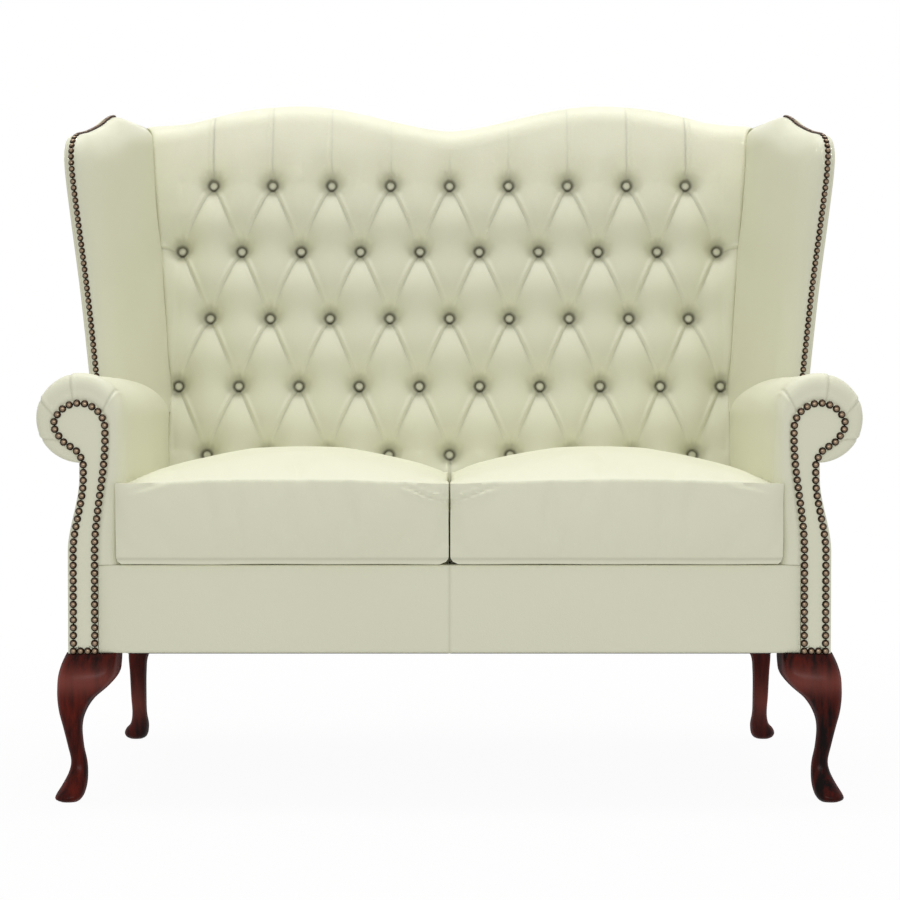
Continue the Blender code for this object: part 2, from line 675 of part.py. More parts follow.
def tuft_share(across, up):
    """Share of the full crown at a place counted in pitches from the lowest middle button."""
    p = across + up / 2
    q = across - up / 2
    sp = abs(math.sin(math.pi * p))
    sq = abs(math.sin(math.pi * q))
    diamond = 0.72 * (1.0 - (1.0 - sp) * (1.0 - sq)) + 0.28 * math.sqrt(sp * sq)
    return diamond


def tuft_height(x, s):
    """Height of the inside back off the button plane, before its edges are rounded."""
    across = x / BUTTON_PITCH
    up = (s - FIRST_ROW) / ROW_PITCH
    if 0.0 <= up <= TUFT_ROWS:
        return TUFT_DEPTH * tuft_share(across, up)
    beyond = -up if up < 0 else up - TUFT_ROWS
    off = abs(across - round(across)) * BUTTON_PITCH
    off = max(off, (abs(across) - TUFT_HALF + 0.5) * BUTTON_PITCH)
    reach = math.hypot(off, beyond * ROW_PITCH)
    pit = math.exp(-(reach / PIT_RADIUS) ** 2)
    pleat = 0.16 * math.exp(-(off / PLEAT_WIDTH) ** 2)
    return TUFT_DEPTH * (1.0 - pit) * (1.0 - pleat)


def build_inside_back():
    """The padded inside back with its dimples, diamonds and pleats."""
    fine = 4
    columns = int(2 * TUFT_HALF * fine) + 2
    low_rows = 3
    tuft_rows = TUFT_ROWS * fine
    top_rows = 5
    rows = low_rows + tuft_rows + top_rows
    cosine = math.cos(BACK_RAKE)
    low = (DECK_TOP + FIT - POST_KINK) / cosine + TOP_TUCK
    last = FIRST_ROW + TUFT_ROWS * ROW_PITCH
    bm = bmesh.new()
    bmesh.ops.create_grid(bm, x_segments=columns, y_segments=rows, size=1.0)
    for vert in bm.verts:
        i = round((vert.co.x + 1.0) / 2.0 * columns) - columns // 2
        j = round((vert.co.y + 1.0) / 2.0 * rows)
        x = i * BUTTON_PITCH / fine
        if j <= low_rows:
            s = low + (FIRST_ROW - low) * j / low_rows
        else:
            s = FIRST_ROW + ROW_PITCH * (j - low_rows) / fine
        over = max(0, j - low_rows - tuft_rows) / top_rows
        if over > 0.0:
            top = (camel(x) - POST_KINK) / cosine
            s = last + (top - last) * math.sin(over * math.pi / 2)
        height = POST_KINK + s * cosine
        at_side = abs(i) == columns // 2
        t = TUFT_BASE + tuft_height(x, s)
        if over > 0.0:
            top = (camel(x) - POST_KINK) / cosine
            lip = max(0.0, 1.0 - (top - s) / BACK_LIP)
            t *= math.sqrt(max(0.0, 1.0 - 0.96 * lip * lip))
        if at_side:
            t *= 0.72
        room = (FRAME_DEPTH + (height - POST_KINK) * LEAN - SEAT_DEPTH + CUSHION_OVERHANG
                - CUSHION_BACK_GAP) * cosine
        if height < CUSHION_TOP + CUSHION_CROWN + CAMEL_RUN_OUT:
            t = min(t, room)
        t = max(t, PAD_REAR + EDGE_FOAM)
        if at_side:
            x = math.copysign(back_edge(height, t), i)
        vert.co = (x, s, t)
    edges = [e for e in bm.edges if e.is_boundary]
    grown = bmesh.ops.extrude_edge_only(bm, edges=edges)["geom"]
    for vert in (g for g in grown if isinstance(g, bmesh.types.BMVert)):
        vert.co.z = PAD_REAR
        narrow = back_edge(POST_KINK + vert.co.y * cosine, PAD_REAR)
        vert.co.x = max(-narrow, min(narrow, vert.co.x))
    rim = [g for g in grown if isinstance(g, bmesh.types.BMEdge) and g.is_boundary]
    bmesh.ops.edgeloop_fill(bm, edges=rim)
    from_bmesh("inside_back", bm, LEATHER, leaning())


def build_outside_back():
    """The outside back as a shallow tray round the posts."""
    gap = POST_DEPTH + FIT
    kink = POST_KINK - gap * (1.0 / math.cos(BACK_RAKE) - 1.0) / LEAN
    plane = FRAME_DEPTH + gap
    across = 24
    heights = sorted([h for x, h in side_line()[:-1]] + [kink, ARM_HEIGHT]) + [None]
    inside = 2 * COVER_THICKNESS + 4 * FIT
    columns = across + 2
    bm = bmesh.new()
    bmesh.ops.create_grid(bm, x_segments=columns, y_segments=len(heights) - 1, size=1.0)
    rim = set()
    for vert in bm.verts:
        i = round((vert.co.x + 1.0) / 2.0 * columns)
        height = heights[round((vert.co.y + 1.0) / 2.0 * (len(heights) - 1))]
        level = BACK_SHOULDER if height is None else height
        half = outer_side(level) - inside + BACK_SPREAD * max(0.0, level - SWEEP_HIGH)
        x = half * (2.0 * min(max(i - 1, 0), across) / across - 1.0)
        z = camel(x) - COVER_THICKNESS - TOP_TUCK if height is None else height
        setback = plane + max(0.0, z - kink) * LEAN
        if i in (0, columns):
            setback -= POST_DEPTH * 0.86
        elif height is None:
            rim.add(vert)
        vert.co = (x, y_at(setback), z)
    top_edges = [e for e in bm.edges if e.is_boundary and e.verts[0] in rim and e.verts[1] in rim]
    grown = bmesh.ops.extrude_edge_only(bm, edges=top_edges)["geom"]
    fold = Vector((0.0, -gap * math.cos(BACK_RAKE), gap * math.sin(BACK_RAKE) * 0.5))
    bmesh.ops.translate(bm, vec=fold, verts=[g for g in grown if isinstance(g, bmesh.types.BMVert)])
    made = from_bmesh("outside_back", bm, LEATHER)
    shell = made.modifiers.new("thickness", "SOLIDIFY")
    shell.thickness = COVER_THICKNESS
    shell.use_even_offset = True
    shell.offset = 1.0 if rear_faces_out(made.data) else -1.0


def rear_faces_out(mesh):
    """Whether the face normals of the outside back point to the rear."""
    return sum(face.normal.y * face.area for face in mesh.polygons) > 0.0


def build_wings():
    """Wing boards, padded inside wings, outside wings and their nail rows."""
    foot = ARM_RAIL_TOP + FIT + WING_LEAN * WING_OUTER
    board = wing_outline(WING_WRAP, foot)
    slot = wing_outline(WING_WRAP - EDGE_FOAM, foot - POST_DROP)
    skin = wing_outline(0.0, ARM_HEIGHT - WING_TUCK)
    low = wing_flat([(WING_FRONT, ARM_HEIGHT + 3.5 * TRIM)])[0][1]
    line = [p for p in wing_line() if p[1] > low]
    line = line[:int(len(line) * 0.86)]
    for label, side in SIDES:
        arm = bpy.data.objects[label + "_arm_pad"]
        wood = wing_prism(label + "_wing_board", side, board, WING_PADDING + FIT,
                          WING_PADDING + FIT + WING_BOARD, BEECH)
        cut(wood, back_space())
        cut(arm, wing_prism("slot", side, slot, WING_PADDING, WING_OUTER, BEECH))
        inside = wing_prism(label + "_inside_wing", side, skin, 0.0, WING_OUTER, LEATHER)
        pocket = wing_outline(WING_WRAP - FIT, ARM_HEIGHT - 1.8 * WING_TUCK)
        pocket = pocket[:-3] + [(x - WING_WRAP, y) for x, y in pocket[-3:]]
        cut(inside, wing_prism("pocket", side, pocket, WING_PADDING, WING_OUTER + WING_WRAP, BEECH))
        outside = wing_prism(label + "_outside_wing", side, skin, WING_OUTER + FIT,
                             WING_OUTER + FIT + COVER_THICKNESS, LEATHER)
        for piece in (inside, outside):
            cut(piece, back_space())
            reach = post_front(ARM_HEIGHT) + POST_DEPTH
            cut(piece, prism("arm_space", mirrored(arm_envelope(FIT), side), reach,
                             standing(reach / 2), LEATHER))
        far = WING_OUTER - TRIM
        wing_prism(label + "_wing_nails", side, band(line, -FIT, -FIT - NAIL_RISE),
                   far - NAIL_HEAD, far, BRONZE)


def build_arms():
    """Padded arms, outside arms, facings and their nail rows."""
    ring = band(roll_path(ROLL_RADIUS, DECK_TOP + FIT), 0.0, -ARM_PADDING)
    edge = POST_OUTER + FIT
    turn = math.degrees(math.acos((edge - ROLL_X) / (ROLL_RADIUS - TRIM)))
    cap = arc((ROLL_X, ROLL_Z), ROLL_RADIUS - TRIM, turn, -turn, 18)
    panel = band(side_line(), 0.0, COVER_THICKNESS)
    nails = nail_line()
    facing = keyhole(nails)
    for label, side in SIDES:
        start = WOOD_FRONT
        end = post_front(ARM_HEIGHT) + POST_DEPTH
        pad = prism(label + "_arm_pad", mirrored(ring, side), end - start, standing((start + end) / 2),
                    LEATHER)
        start = FRAME_DEPTH - COVER_THICKNESS
        join(pad, prism("cap", mirrored(cap, side), end - start, standing((start + end) / 2), LEATHER))
        cut(pad, post_space())
        end = FRAME_DEPTH + POST_DEPTH
        prism(label + "_outside_arm", mirrored(panel, side), end - FIT, standing((end + FIT) / 2), LEATHER)
        prism(label + "_arm_facing", mirrored(facing, side), FACING_THICKNESS,
              standing(FACING_THICKNESS / 2), LEATHER)
        prism(label + "_facing_nails", mirrored(band(nails, NAIL_HEAD / 2, -NAIL_HEAD / 2), side), NAIL_RISE,
              standing(-FIT - NAIL_RISE / 2), BRONZE)


def keyhole(nails):
    """Outline of a facing: its nail row grown by the edge of leather outside it."""
    grown = shifted(nails, -NAIL_EDGE)
    return [(grown[0][0], FRAME_BOTTOM)] + grown[1:-1] + [(grown[-1][0], FRAME_BOTTOM)]


def build_front_border():
    """The leather on the front rail with its return over the deck."""
    inside = BASE_OUTER - FACING_MARGIN - FACING_LEG - NAIL_EDGE - FIT
    front = WOOD_FRONT - FIT - COVER_THICKNESS
    outline = [(front, FRAME_BOTTOM), (front, DECK_TOP), (front + BORDER_RETURN, DECK_TOP),
               (front + BORDER_RETURN, PLATFORM_TOP + FIT), (front + COVER_THICKNESS, PLATFORM_TOP + FIT),
               (front + COVER_THICKNESS, FRAME_BOTTOM)]
    prism("front_border", outline, 2 * min(inside, SEAT_HALF + ARM_PADDING), sideways(0.0), LEATHER)


def build_cushions():
    """Two loose cushions: a crowned cover with its foam core."""
    front = -CUSHION_OVERHANG
    rear = front + SEAT_DEPTH
    width = SEAT_HALF - CUSHION_SIDE_GAP - CUSHION_MIDDLE_GAP / 2
    for label, side in SIDES:
        middle = side * (CUSHION_MIDDLE_GAP / 2 + width / 2)
        cover = crowned(label + "_cushion_cover", middle, width, front, rear)
        low = (middle - width / 2 + CORE_INSET, y_at(front + CORE_INSET), CUSHION_BOTTOM + CORE_INSET / 2)
        high = (middle + width / 2 - CORE_INSET, y_at(rear - CORE_INSET), CUSHION_TOP - CORE_INSET / 2)
        space = box("space", [v - FIT for v in low], [v + FIT for v in high], FOAM)
        slot = box("slot", (middle - 0.42 * width, y_at(rear - 2 * CORE_INSET),
                            CUSHION_BOTTOM + CUSHION_EDGE / 2 - ZIP_SLOT / 2),
                   (middle + 0.42 * width, y_at(rear + CORE_INSET),
                    CUSHION_BOTTOM + CUSHION_EDGE / 2 + ZIP_SLOT / 2), FOAM)
        cut(cover, space)
        cut(cover, slot)
        core = box(label + "_cushion_core", low, high, FOAM)
        pull = bpy.data.objects.new(label + "_cushion_pull", None)
        sofa_collection().objects.link(pull)
        pull.location = (middle, y_at((front + rear) / 2), CUSHION_BOTTOM + CUSHION_EDGE / 2)
        bpy.context.view_layer.update()
        for piece in (cover, core):
            piece.parent = pull
            piece.matrix_parent_inverse = pull.matrix_world.inverted()


def crowned(name, middle, width, front, rear):
    """A box cushion with a crowned top, eased edges and a flat base."""
    bm = bmesh.new()
    bmesh.ops.create_cube(bm, size=2.0)
    bmesh.ops.subdivide_edges(bm, edges=bm.edges, cuts=9, use_grid_fill=True)
    half = Vector((width / 2, (rear - front) / 2, CUSHION_EDGE / 2))
    for vert in bm.verts:
        spread = Vector([math.sin(v * math.pi / 2) for v in vert.co])
        soft = max(0.0, (1 - spread.x ** 6) * (1 - spread.y ** 6))
        place = Vector([v * h for v, h in zip(spread, half)])
        held = Vector([max(-h + CUSHION_ROUND, min(h - CUSHION_ROUND, v)) for v, h in zip(place, half)])
        out = place - held
        if out.length > CUSHION_ROUND:
            place = held + out.normalized() * CUSHION_ROUND
        if vert.co.z > 0.0:
            place.z += CUSHION_CROWN * soft * smooth((spread.z + 0.2) / 1.2)
        vert.co = (middle + place.x, y_at((front + rear) / 2 + place.y),
                   CUSHION_BOTTOM + CUSHION_EDGE / 2 + place.z)
    return from_bmesh(name, bm, LEATHER)


def front_bolt(side):
    """Place of a front leg bolt, in the middle of the arm post."""
    return (side * (ARM_POST_INNER + BOLT_SET_IN), y_at(WOOD_FRONT + RAIL_THICKNESS / 2))


def rear_bolt(side):
    """Place of a rear leg bolt, in the middle of the back post."""
    return (side * (POST_OUTER - POST_WIDTH / 2), y_at(FRAME_DEPTH + POST_DEPTH / 2))


def bolt_top():
    """Upper end of a leg bolt."""
    return LEG_HEIGHT - BOLT_IN_LEG + BOLT_LENGTH


def build_legs():
    """Front cabriole legs, rear swept legs and their bolts."""
    front_stations = ((0.0, 0.6, 0.220, 2.2), (0.020, 1.0, 0.280, 2.2), (0.050, 0.92, 0.330, 2.3),
                      (0.115, 0.40, 0.372, 2.3), (0.195, -0.12, 0.378, 2.3), (0.270, -0.29, 0.360, 2.3),
                      (0.370, -0.05, 0.311, 2.4), (0.500, 0.32, 0.280, 2.6), (0.600, 0.65, 0.320, 2.8),
                      (0.690, 0.83, 0.451, 3.2), (0.770, 0.88, 0.683, 3.8), (0.850, 0.82, 0.902, 4.2),
                      (0.930, 0.52, 0.994, 4.6), (1.0, 0.10, 1.0, 5.0))
    rear_stations = ((0.0, 0.21, 0.40, 1.0, 2.2), (0.035, 0.25, 0.44, 1.0, 2.2),
                     (0.075, 0.23, 0.43, 0.95, 2.3), (0.130, 0.08, 0.30, 0.80, 2.6),
                     (0.220, -0.02, 0.25, 0.50, 3.0), (0.360, 0.0, 0.26, 0.18, 3.4),
                     (0.550, 0.08, 0.28, -0.04, 3.8), (0.700, 0.115, 0.31, -0.06, 4.0),
                     (0.860, 0.06, 0.40, -0.02, 4.4), (1.0, 0.0, 0.50, 0.0, 5.0))
    for label, side in SIDES:
        rings = []
        for share, toe, knee, power in front_stations:
            out = toe * TOE_OVERHANG
            into = knee * KNEE_WIDTH
            ring = superellipse((BASE_OUTER - into, -out), (BASE_OUTER + out, into), power, 16)
            rings.append([(side * x, y_at(u), LEG_HEIGHT * share) for x, u in ring])
        leg = loft("front_" + label + "_leg", rings, MAHOGANY)
        drill_leg(leg, "front_" + label + "_leg_bolt", front_bolt(side))
        rings = []
        centre_x = POST_OUTER - POST_WIDTH / 2
        centre_u = FRAME_DEPTH + POST_DEPTH / 2
        for share, drift, half, kick, power in rear_stations:
            reach = half * REAR_LEG_WIDTH
            middle = centre_x + FOOT_SPLAY * (1.0 - share) + drift * REAR_LEG_WIDTH
            low = (middle - reach, centre_u + kick * FOOT_KICK - reach)
            high = (middle + reach, centre_u + kick * FOOT_KICK + reach)
            ring = superellipse(low, high, power, 12)
            rings.append([(side * x, y_at(u), LEG_HEIGHT * share) for x, u in ring])
        leg = loft("rear_" + label + "_leg", rings, MAHOGANY)
        drill_leg(leg, "rear_" + label + "_leg_bolt", rear_bolt(side))


def drill_leg(leg, bolt, centre):
    """Drill a leg for its bolt and put the bolt in."""
    low = LEG_HEIGHT - BOLT_IN_LEG
    cut(leg, rod("hole", centre, BOLT_RADIUS + FIT, low - FIT, LEG_HEIGHT + HOLE_RUN_OUT, STEEL))
    rod(bolt, centre, BOLT_RADIUS, low, bolt_top(), STEEL)


def main():
    """Build the whole sofa."""
    for old in list(bpy.data.objects):
        bpy.data.objects.remove(old)
    build_seat_frame()
    build_arm_wood()
    build_back_wood()
    build_inside_back()
    build_outside_back()
    build_arms()
    build_wings()
    build_front_border()
    build_cushions()
    build_legs()


main()
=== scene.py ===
"""Looks of a two-seat wing sofa with a buttoned back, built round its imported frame.

Lengths are in metres. X runs to the viewer's right, Y to the back and Z up. Depths are worked
out as setbacks behind the front plane of the arm facings. Pieces of the right-hand side are
shaped first, and the left-hand ones are their mirror images.
"""

from __future__ import annotations

import json
import logging
import math
from contextlib import contextmanager
from dataclasses import dataclass
from enum import Enum
from typing import Iterable, Iterator, Optional, Sequence

import bpy
import numpy as np
from mathutils import Matrix, Vector

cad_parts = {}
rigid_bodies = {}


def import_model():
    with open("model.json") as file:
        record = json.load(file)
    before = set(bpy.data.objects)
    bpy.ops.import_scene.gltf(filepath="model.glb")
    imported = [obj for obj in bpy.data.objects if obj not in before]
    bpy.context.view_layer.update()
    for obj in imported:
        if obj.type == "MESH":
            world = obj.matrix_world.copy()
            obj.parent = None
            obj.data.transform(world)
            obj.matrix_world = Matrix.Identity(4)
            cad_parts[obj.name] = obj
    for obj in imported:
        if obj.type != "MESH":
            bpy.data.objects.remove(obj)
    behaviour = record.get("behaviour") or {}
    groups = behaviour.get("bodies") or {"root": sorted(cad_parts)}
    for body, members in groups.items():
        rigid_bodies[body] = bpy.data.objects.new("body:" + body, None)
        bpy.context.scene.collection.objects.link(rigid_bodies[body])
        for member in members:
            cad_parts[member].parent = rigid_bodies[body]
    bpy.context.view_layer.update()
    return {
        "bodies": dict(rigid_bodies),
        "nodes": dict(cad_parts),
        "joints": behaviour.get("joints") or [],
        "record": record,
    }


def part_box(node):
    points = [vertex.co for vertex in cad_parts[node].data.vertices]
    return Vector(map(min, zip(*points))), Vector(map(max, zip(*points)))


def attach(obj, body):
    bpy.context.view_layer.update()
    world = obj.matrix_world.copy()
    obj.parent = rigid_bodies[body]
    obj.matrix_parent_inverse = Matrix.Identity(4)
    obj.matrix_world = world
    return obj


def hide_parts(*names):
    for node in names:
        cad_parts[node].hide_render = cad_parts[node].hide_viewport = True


LOG = logging.getLogger("wing_sofa")
FRAME_BODY = "sofa_frame"
WELD = 2e-5
Array = np.ndarray
Amount = np.ndarray | float
Piece = bpy.types.Object
Material = bpy.types.Material
Socket = bpy.types.NodeSocket
Triple = tuple[float, float, float]
Path = list[tuple[float, float]]


class Side(Enum):
    """The two mirrored halves, as the viewer sees them."""

    LEFT = -1.0
    RIGHT = 1.0

    @property
    def label(self) -> str:
        """Name of the side as the nodes spell it."""
        return self.name.lower()


class Slot(Enum):
    """Material slots of the record."""

    LEATHER = "ivory_leather"
    MAHOGANY = "mahogany"
    NAIL = "antique_nail"
    BEECH = "beech"
    STEEL = "spring_steel"
    DECK = "deck_cloth"
    DUST = "dust_cloth"
    HESSIAN = "hessian"
    FOAM = "foam"


Finishes = dict[Slot, Material]


def unit(value: Amount) -> Amount:
    """A value held between 0 and 1."""
    return np.clip(value, 0.0, 1.0)


def smooth(value: Amount) -> Amount:
    """Smooth step from 0 to 1."""
    held = unit(value)
    return held * held * (3.0 - 2.0 * held)


def mix(first: Amount, second: Amount, share: Amount) -> Amount:
    """The first value at a share of 0, the second at 1."""
    return first * (1.0 - share) + second * share


def bell(off: Amount, width: float) -> Amount:
    """Bell curve, 1 in its middle."""
    return np.exp(-(off / width) ** 2)


def rounding(share: Amount) -> Amount:
    """Fall of a round edge: 1 at the edge itself, 0 where the flat begins."""
    return 1.0 - np.sqrt(1.0 - (1.0 - share) ** 2)


def quarter(count: int) -> Array:
    """Even angles through a quarter turn."""
    return np.linspace(0.0, math.pi / 2, count)


def through(points: Path, steps: int) -> Path:
    """A smooth line through points.

    Args:
        points: Places that the line passes.
        steps: Pieces of the line between two neighbours.

    Returns:
        The points of the line.
    """
    ends = [points[0]] + list(points) + [points[-1]]
    line: Path = []
    for a, b, c, d in zip(ends, ends[1:], ends[2:], ends[3:]):
        for i in range(steps):
            t = i / steps
            line.append(tuple(0.5 * (2 * b[k] + (c[k] - a[k]) * t
                                     + (2 * a[k] - 5 * b[k] + 4 * c[k] - d[k]) * t * t
                                     + (3 * b[k] - a[k] - 3 * c[k] + d[k]) * t ** 3)
                              for k in range(2)))
    return line + [tuple(points[-1])]


def run_length(line: Array) -> Array:
    """Length along a line of points up to each point."""
    steps = np.linalg.norm(np.diff(line, axis=0), axis=1)
    return np.concatenate([[0.0], np.cumsum(steps)])


def walk(line: Array, places: Array) -> Array:
    """Points of a line at given lengths along it, one for each."""
    along = run_length(line)
    return np.stack([np.interp(places, along, line[:, k]) for k in range(line.shape[1])], axis=1)


def left_of(line: Array) -> Array:
    """Directions square to a line and to its left, at each of its points.

    Args:
        line: The line's points.

    Returns:
        One direction for each.
    """
    run = np.gradient(line, axis=0)
    run /= np.maximum(np.linalg.norm(run, axis=1), 1e-9)[:, None]
    return np.stack([-run[:, 1], run[:, 0]], axis=1)


def sway(x: Array, y: Array, wave: float, seed: float) -> Array:
    """Gentle unevenness between about -1 and 1.

    Args:
        x: First coordinate.
        y: Second coordinate.
        wave: Typical length of a wave.
        seed: Number that sets this piece apart from others.

    Returns:
        The unevenness at each place.
    """
    k = 2.0 * math.pi / wave
    return (np.sin(k * x + 1.7 * seed + 1.3 * np.sin(0.61 * k * y + seed))
            + np.sin(0.83 * k * y - 2.1 * seed + 1.1 * np.sin(0.47 * k * x - seed))) / 2.0


@dataclass(frozen=True)
class SofaSizes:
    """Sizes of the frame that the pieces are fitted to, and the lines that follow from them."""

    fit: float = 0.0004
    cover: float = 0.005
    hide: float = 0.0022
    leg_height: float = 0.2285
    frame_bottom: float = 0.2289
    deck_top: float = 0.3657
    cushion_bottom: float = 0.3661
    cushion_edge: float = 0.128
    cushion_middle_gap: float = 0.0050
    cushion_side_gap: float = 0.0010
    cushion_overhang: float = 0.004
    arm_height: float = 0.658
    back_hump: float = 1.166
    back_dip: float = 1.118
    back_shoulder: float = 1.124
    top_tuck: float = 0.008
    wing_top: float = 1.132
    wing_shoulder: float = 1.078
    seat_half: float = 0.5045
    arm_base: float = 0.0832
    arm_waist: float = 0.0162
    roll_radius: float = 0.0658
    hump_half_span: float = 0.265
    camel_run_out: float = 0.020
    frame_depth: float = 0.573
    tuck_room: float = 0.052
    post_depth: float = 0.040
    post_kink: float = 0.440
    back_rake: float = math.radians(14.2)
    wing_front: float = 0.312
    wing_flare: float = 0.210
    wing_lean: float = 0.110
    wing_set_in: float = 0.0050
    wing_bow: float = 0.004
    wing_corner: float = 0.034
    wing_crest: float = 0.290
    wing_run_out: float = 0.035
    wing_end: float = 0.0155
    wing_sunk: float = 0.060
    wing_hollow: float = 0.0165
    back_spread: float = 0.030
    back_inside: float = 0.0066
    wing_depth: float = 0.0388
    toe_overhang: float = 0.0170
    knee_width: float = 0.0820
    rear_leg_width: float = 0.052
    foot_kick: float = 0.030
    foot_splay: float = 0.022
    post_middle: float = 0.5366
    post_width: float = 0.0450
    facing_margin: float = 0.0078
    facing_leg: float = 0.033
    facing_thickness: float = 0.0096
    head_radius: float = 0.0400
    head_drop: float = 0.0180
    head_shift: float = 0.0002
    nail_edge: float = 0.0040
    waist_drop: float = 0.0922
    waist_run: float = 0.115

    @property
    def lean(self) -> float:
        """Run of the back for each metre up."""
        return math.tan(self.back_rake)

    @property
    def upright(self) -> float:
        """Rise of the back for each metre along its lean."""
        return math.cos(self.back_rake)

    @property
    def front_y(self) -> float:
        """Y of the front plane of the arm facings."""
        rear = (self.frame_depth + (self.back_hump - self.top_tuck - self.post_kink) * self.lean
                + (self.post_depth + self.fit + self.cover) / self.upright)
        return -(rear - self.toe_overhang) / 2

    @property
    def roll_x(self) -> float:
        """X of the centre of the right arm scroll."""
        return self.seat_half + self.roll_radius

    @property
    def roll_z(self) -> float:
        """Height of the centre of an arm scroll."""
        return self.arm_height - self.roll_radius

    @property
    def base_outer(self) -> float:
        """X of the outside of the right arm at its foot."""
        return self.seat_half + self.arm_base

    @property
    def sweep_high(self) -> float:
        """Height where the outside arm reaches its waist."""
        return self.roll_z - self.waist_drop

    @property
    def sweep_low(self) -> float:
        """Height where the outside arm starts to draw in."""
        return self.sweep_high - self.waist_run

    @property
    def neck(self) -> float:
        """Height of the neck under the head of a facing."""
        return self.roll_z - self.head_drop - 1.25 * self.head_radius

    def place(self, x: Amount, setback: Amount, height: Amount) -> Array:
        """Places from X, setback and height."""
        return np.stack(np.broadcast_arrays(x, self.front_y + setback, height), axis=-1)

    def sweep(self, height: Amount) -> Amount:
        """Share of the waist that the outside arm has drawn in at a height."""
        return smooth((height - self.sweep_low) / (self.sweep_high - self.sweep_low))

    def outer_side(self, height: Amount) -> Amount:
        """X of the outside arm at a height below the scroll."""
        return self.base_outer - self.arm_waist * self.sweep(height)

    def post_front(self, height: Amount) -> Amount:
        """Setback of the front of the back posts at a height."""
        return self.frame_depth + np.maximum(0.0, height - self.post_kink) * self.lean

    def camel(self, x: Array) -> Array:
        """Height of the top of the back at an X.

        Args:
            x: Places across the back.

        Returns:
            The height at each.
        """
        away = np.abs(x)
        rise = smooth(away / self.hump_half_span) ** 0.85
        middle = self.back_dip + (self.back_hump - self.back_dip) * rise
        run = (away - self.hump_half_span) / (self.seat_half - self.camel_run_out - self.hump_half_span)
        fall = np.where(run < 0.8, run * run, 1.0 - 0.36 * np.exp(-(run - 0.8) * 4.4))
        outer = self.back_hump - (self.back_hump - self.back_shoulder) * np.minimum(1.0, fall)
        return np.where(away < self.hump_half_span, middle, outer)

    def wing_face(self, setback: Amount, height: Amount) -> Amount:
        """X of the flat that the inside of the right wing is padded on."""
        root = self.seat_half - self.wing_set_in + self.wing_lean * (height - self.arm_height)
        return root + self.wing_flare * (self.post_front(self.arm_height) - setback)

    def wing_axes(self) -> Matrix:
        """Frame of the right wing: forward, up, and towards the seat, from its root at arm height.

        Returns:
            The frame as a matrix.
        """
        forward = Vector((self.wing_flare, -1.0, 0.0)).normalized()
        up = Vector((self.wing_lean, 0.0, 1.0))
        normal = forward.cross(up).normalized()
        up = normal.cross(forward)
        setback = self.post_front(self.arm_height)
        frame = Matrix((forward, up, normal)).transposed().to_4x4()
        frame.translation = self.place(self.wing_face(setback, self.arm_height), setback, self.arm_height)
        return frame

    def wing_flat(self, points: Iterable[tuple[float, float]]) -> Array:
        """Setbacks and heights on a wing's face turned into its own flat coordinates."""
        back = self.wing_axes().inverted()
        return np.array([(back @ Vector(self.place(self.wing_face(s, h), s, h)))[:2] for s, h in points])

    def hollow(self, ahead: Array, up: Array) -> Array:
        """How far the inside of a wing lies behind its flat near the top of the back."""
        return self.wing_hollow * smooth((up - 0.02) / 0.42) * smooth((0.24 - ahead) / 0.30)

    def back_half(self, height: Amount) -> Amount:
        """Half width of the outside back at a height."""
        spread = self.back_spread * np.maximum(0.0, height - self.sweep_high)
        return self.outer_side(height) - self.back_inside + spread

    def wing_edge(self) -> Array:
        """Front and top edge of a wing from inside the arm to the back, flat.

        Returns:
            The line's points.
        """
        shoulder = self.wing_shoulder
        rise = self.wing_top - shoulder
        front, corner, crest, bow = self.wing_front, self.wing_corner, self.wing_crest, self.wing_bow
        rear = self.post_front(self.back_shoulder)
        points = [(front, self.arm_height - self.wing_sunk), (front + bow, self.arm_height + 4 * corner),
                  (front - 0.5 * bow, shoulder - 4.4 * corner), (front - bow, shoulder - 2.2 * corner),
                  (front + bow, shoulder - corner), (front + 0.88 * corner, shoulder - 0.235 * corner),
                  (front + 0.293 * crest, shoulder + 0.10 * rise),
                  (front + 0.517 * crest, shoulder + 0.46 * rise),
                  (front + 0.741 * crest, shoulder + 0.90 * rise), (front + crest, self.wing_top),
                  (rear - self.wing_run_out, self.wing_top - 0.0008),
                  (rear + 0.008, self.back_shoulder + 0.0040), (rear + 0.034, self.back_shoulder - 0.0125)]
        return self.wing_flat(through(points, 8))

    def nail_line(self) -> Array:
        """Nail row of the right facing: up outside, round the scroll and down inside.

        Returns:
            X and height of its points.
        """
        outside = self.base_outer - self.facing_margin
        inside = outside - self.facing_leg
        hx, hz, size = self.roll_x - self.head_shift, self.roll_z - self.head_drop, self.head_radius
        low = self.frame_bottom + self.nail_edge
        neck = self.neck
        fine = 16
        span = self.sweep_high - self.sweep_low
        heights = [low] + [self.sweep_low + span * i / fine for i in range(fine + 1)]
        up = [(outside - self.arm_waist * float(self.sweep(h)), h) for h in heights]
        edge = up[-1][0]
        flank = through([(edge, neck), (edge + 0.26 * size, neck + 0.44 * size),
                         (hx + 0.61 * size, hz - 0.4545 * size), (hx + 0.948 * size, hz + 0.052 * size)], 6)
        turns = [math.radians(12 + 168 * i / 30) for i in range(31)]
        over = [(hx + size * math.cos(a), hz + 0.026 * size + size * math.sin(a)) for a in turns]
        shift = inside - (hx - size)
        run = hz - 0.312 * size - self.sweep_low
        down = [(inside - shift * float(smooth(k / fine)), self.sweep_low + run * k / fine)
                for k in range(fine, -1, -1)]
        return np.array(up + flank + over + down + [(inside, low)])


SIZES = SofaSizes()


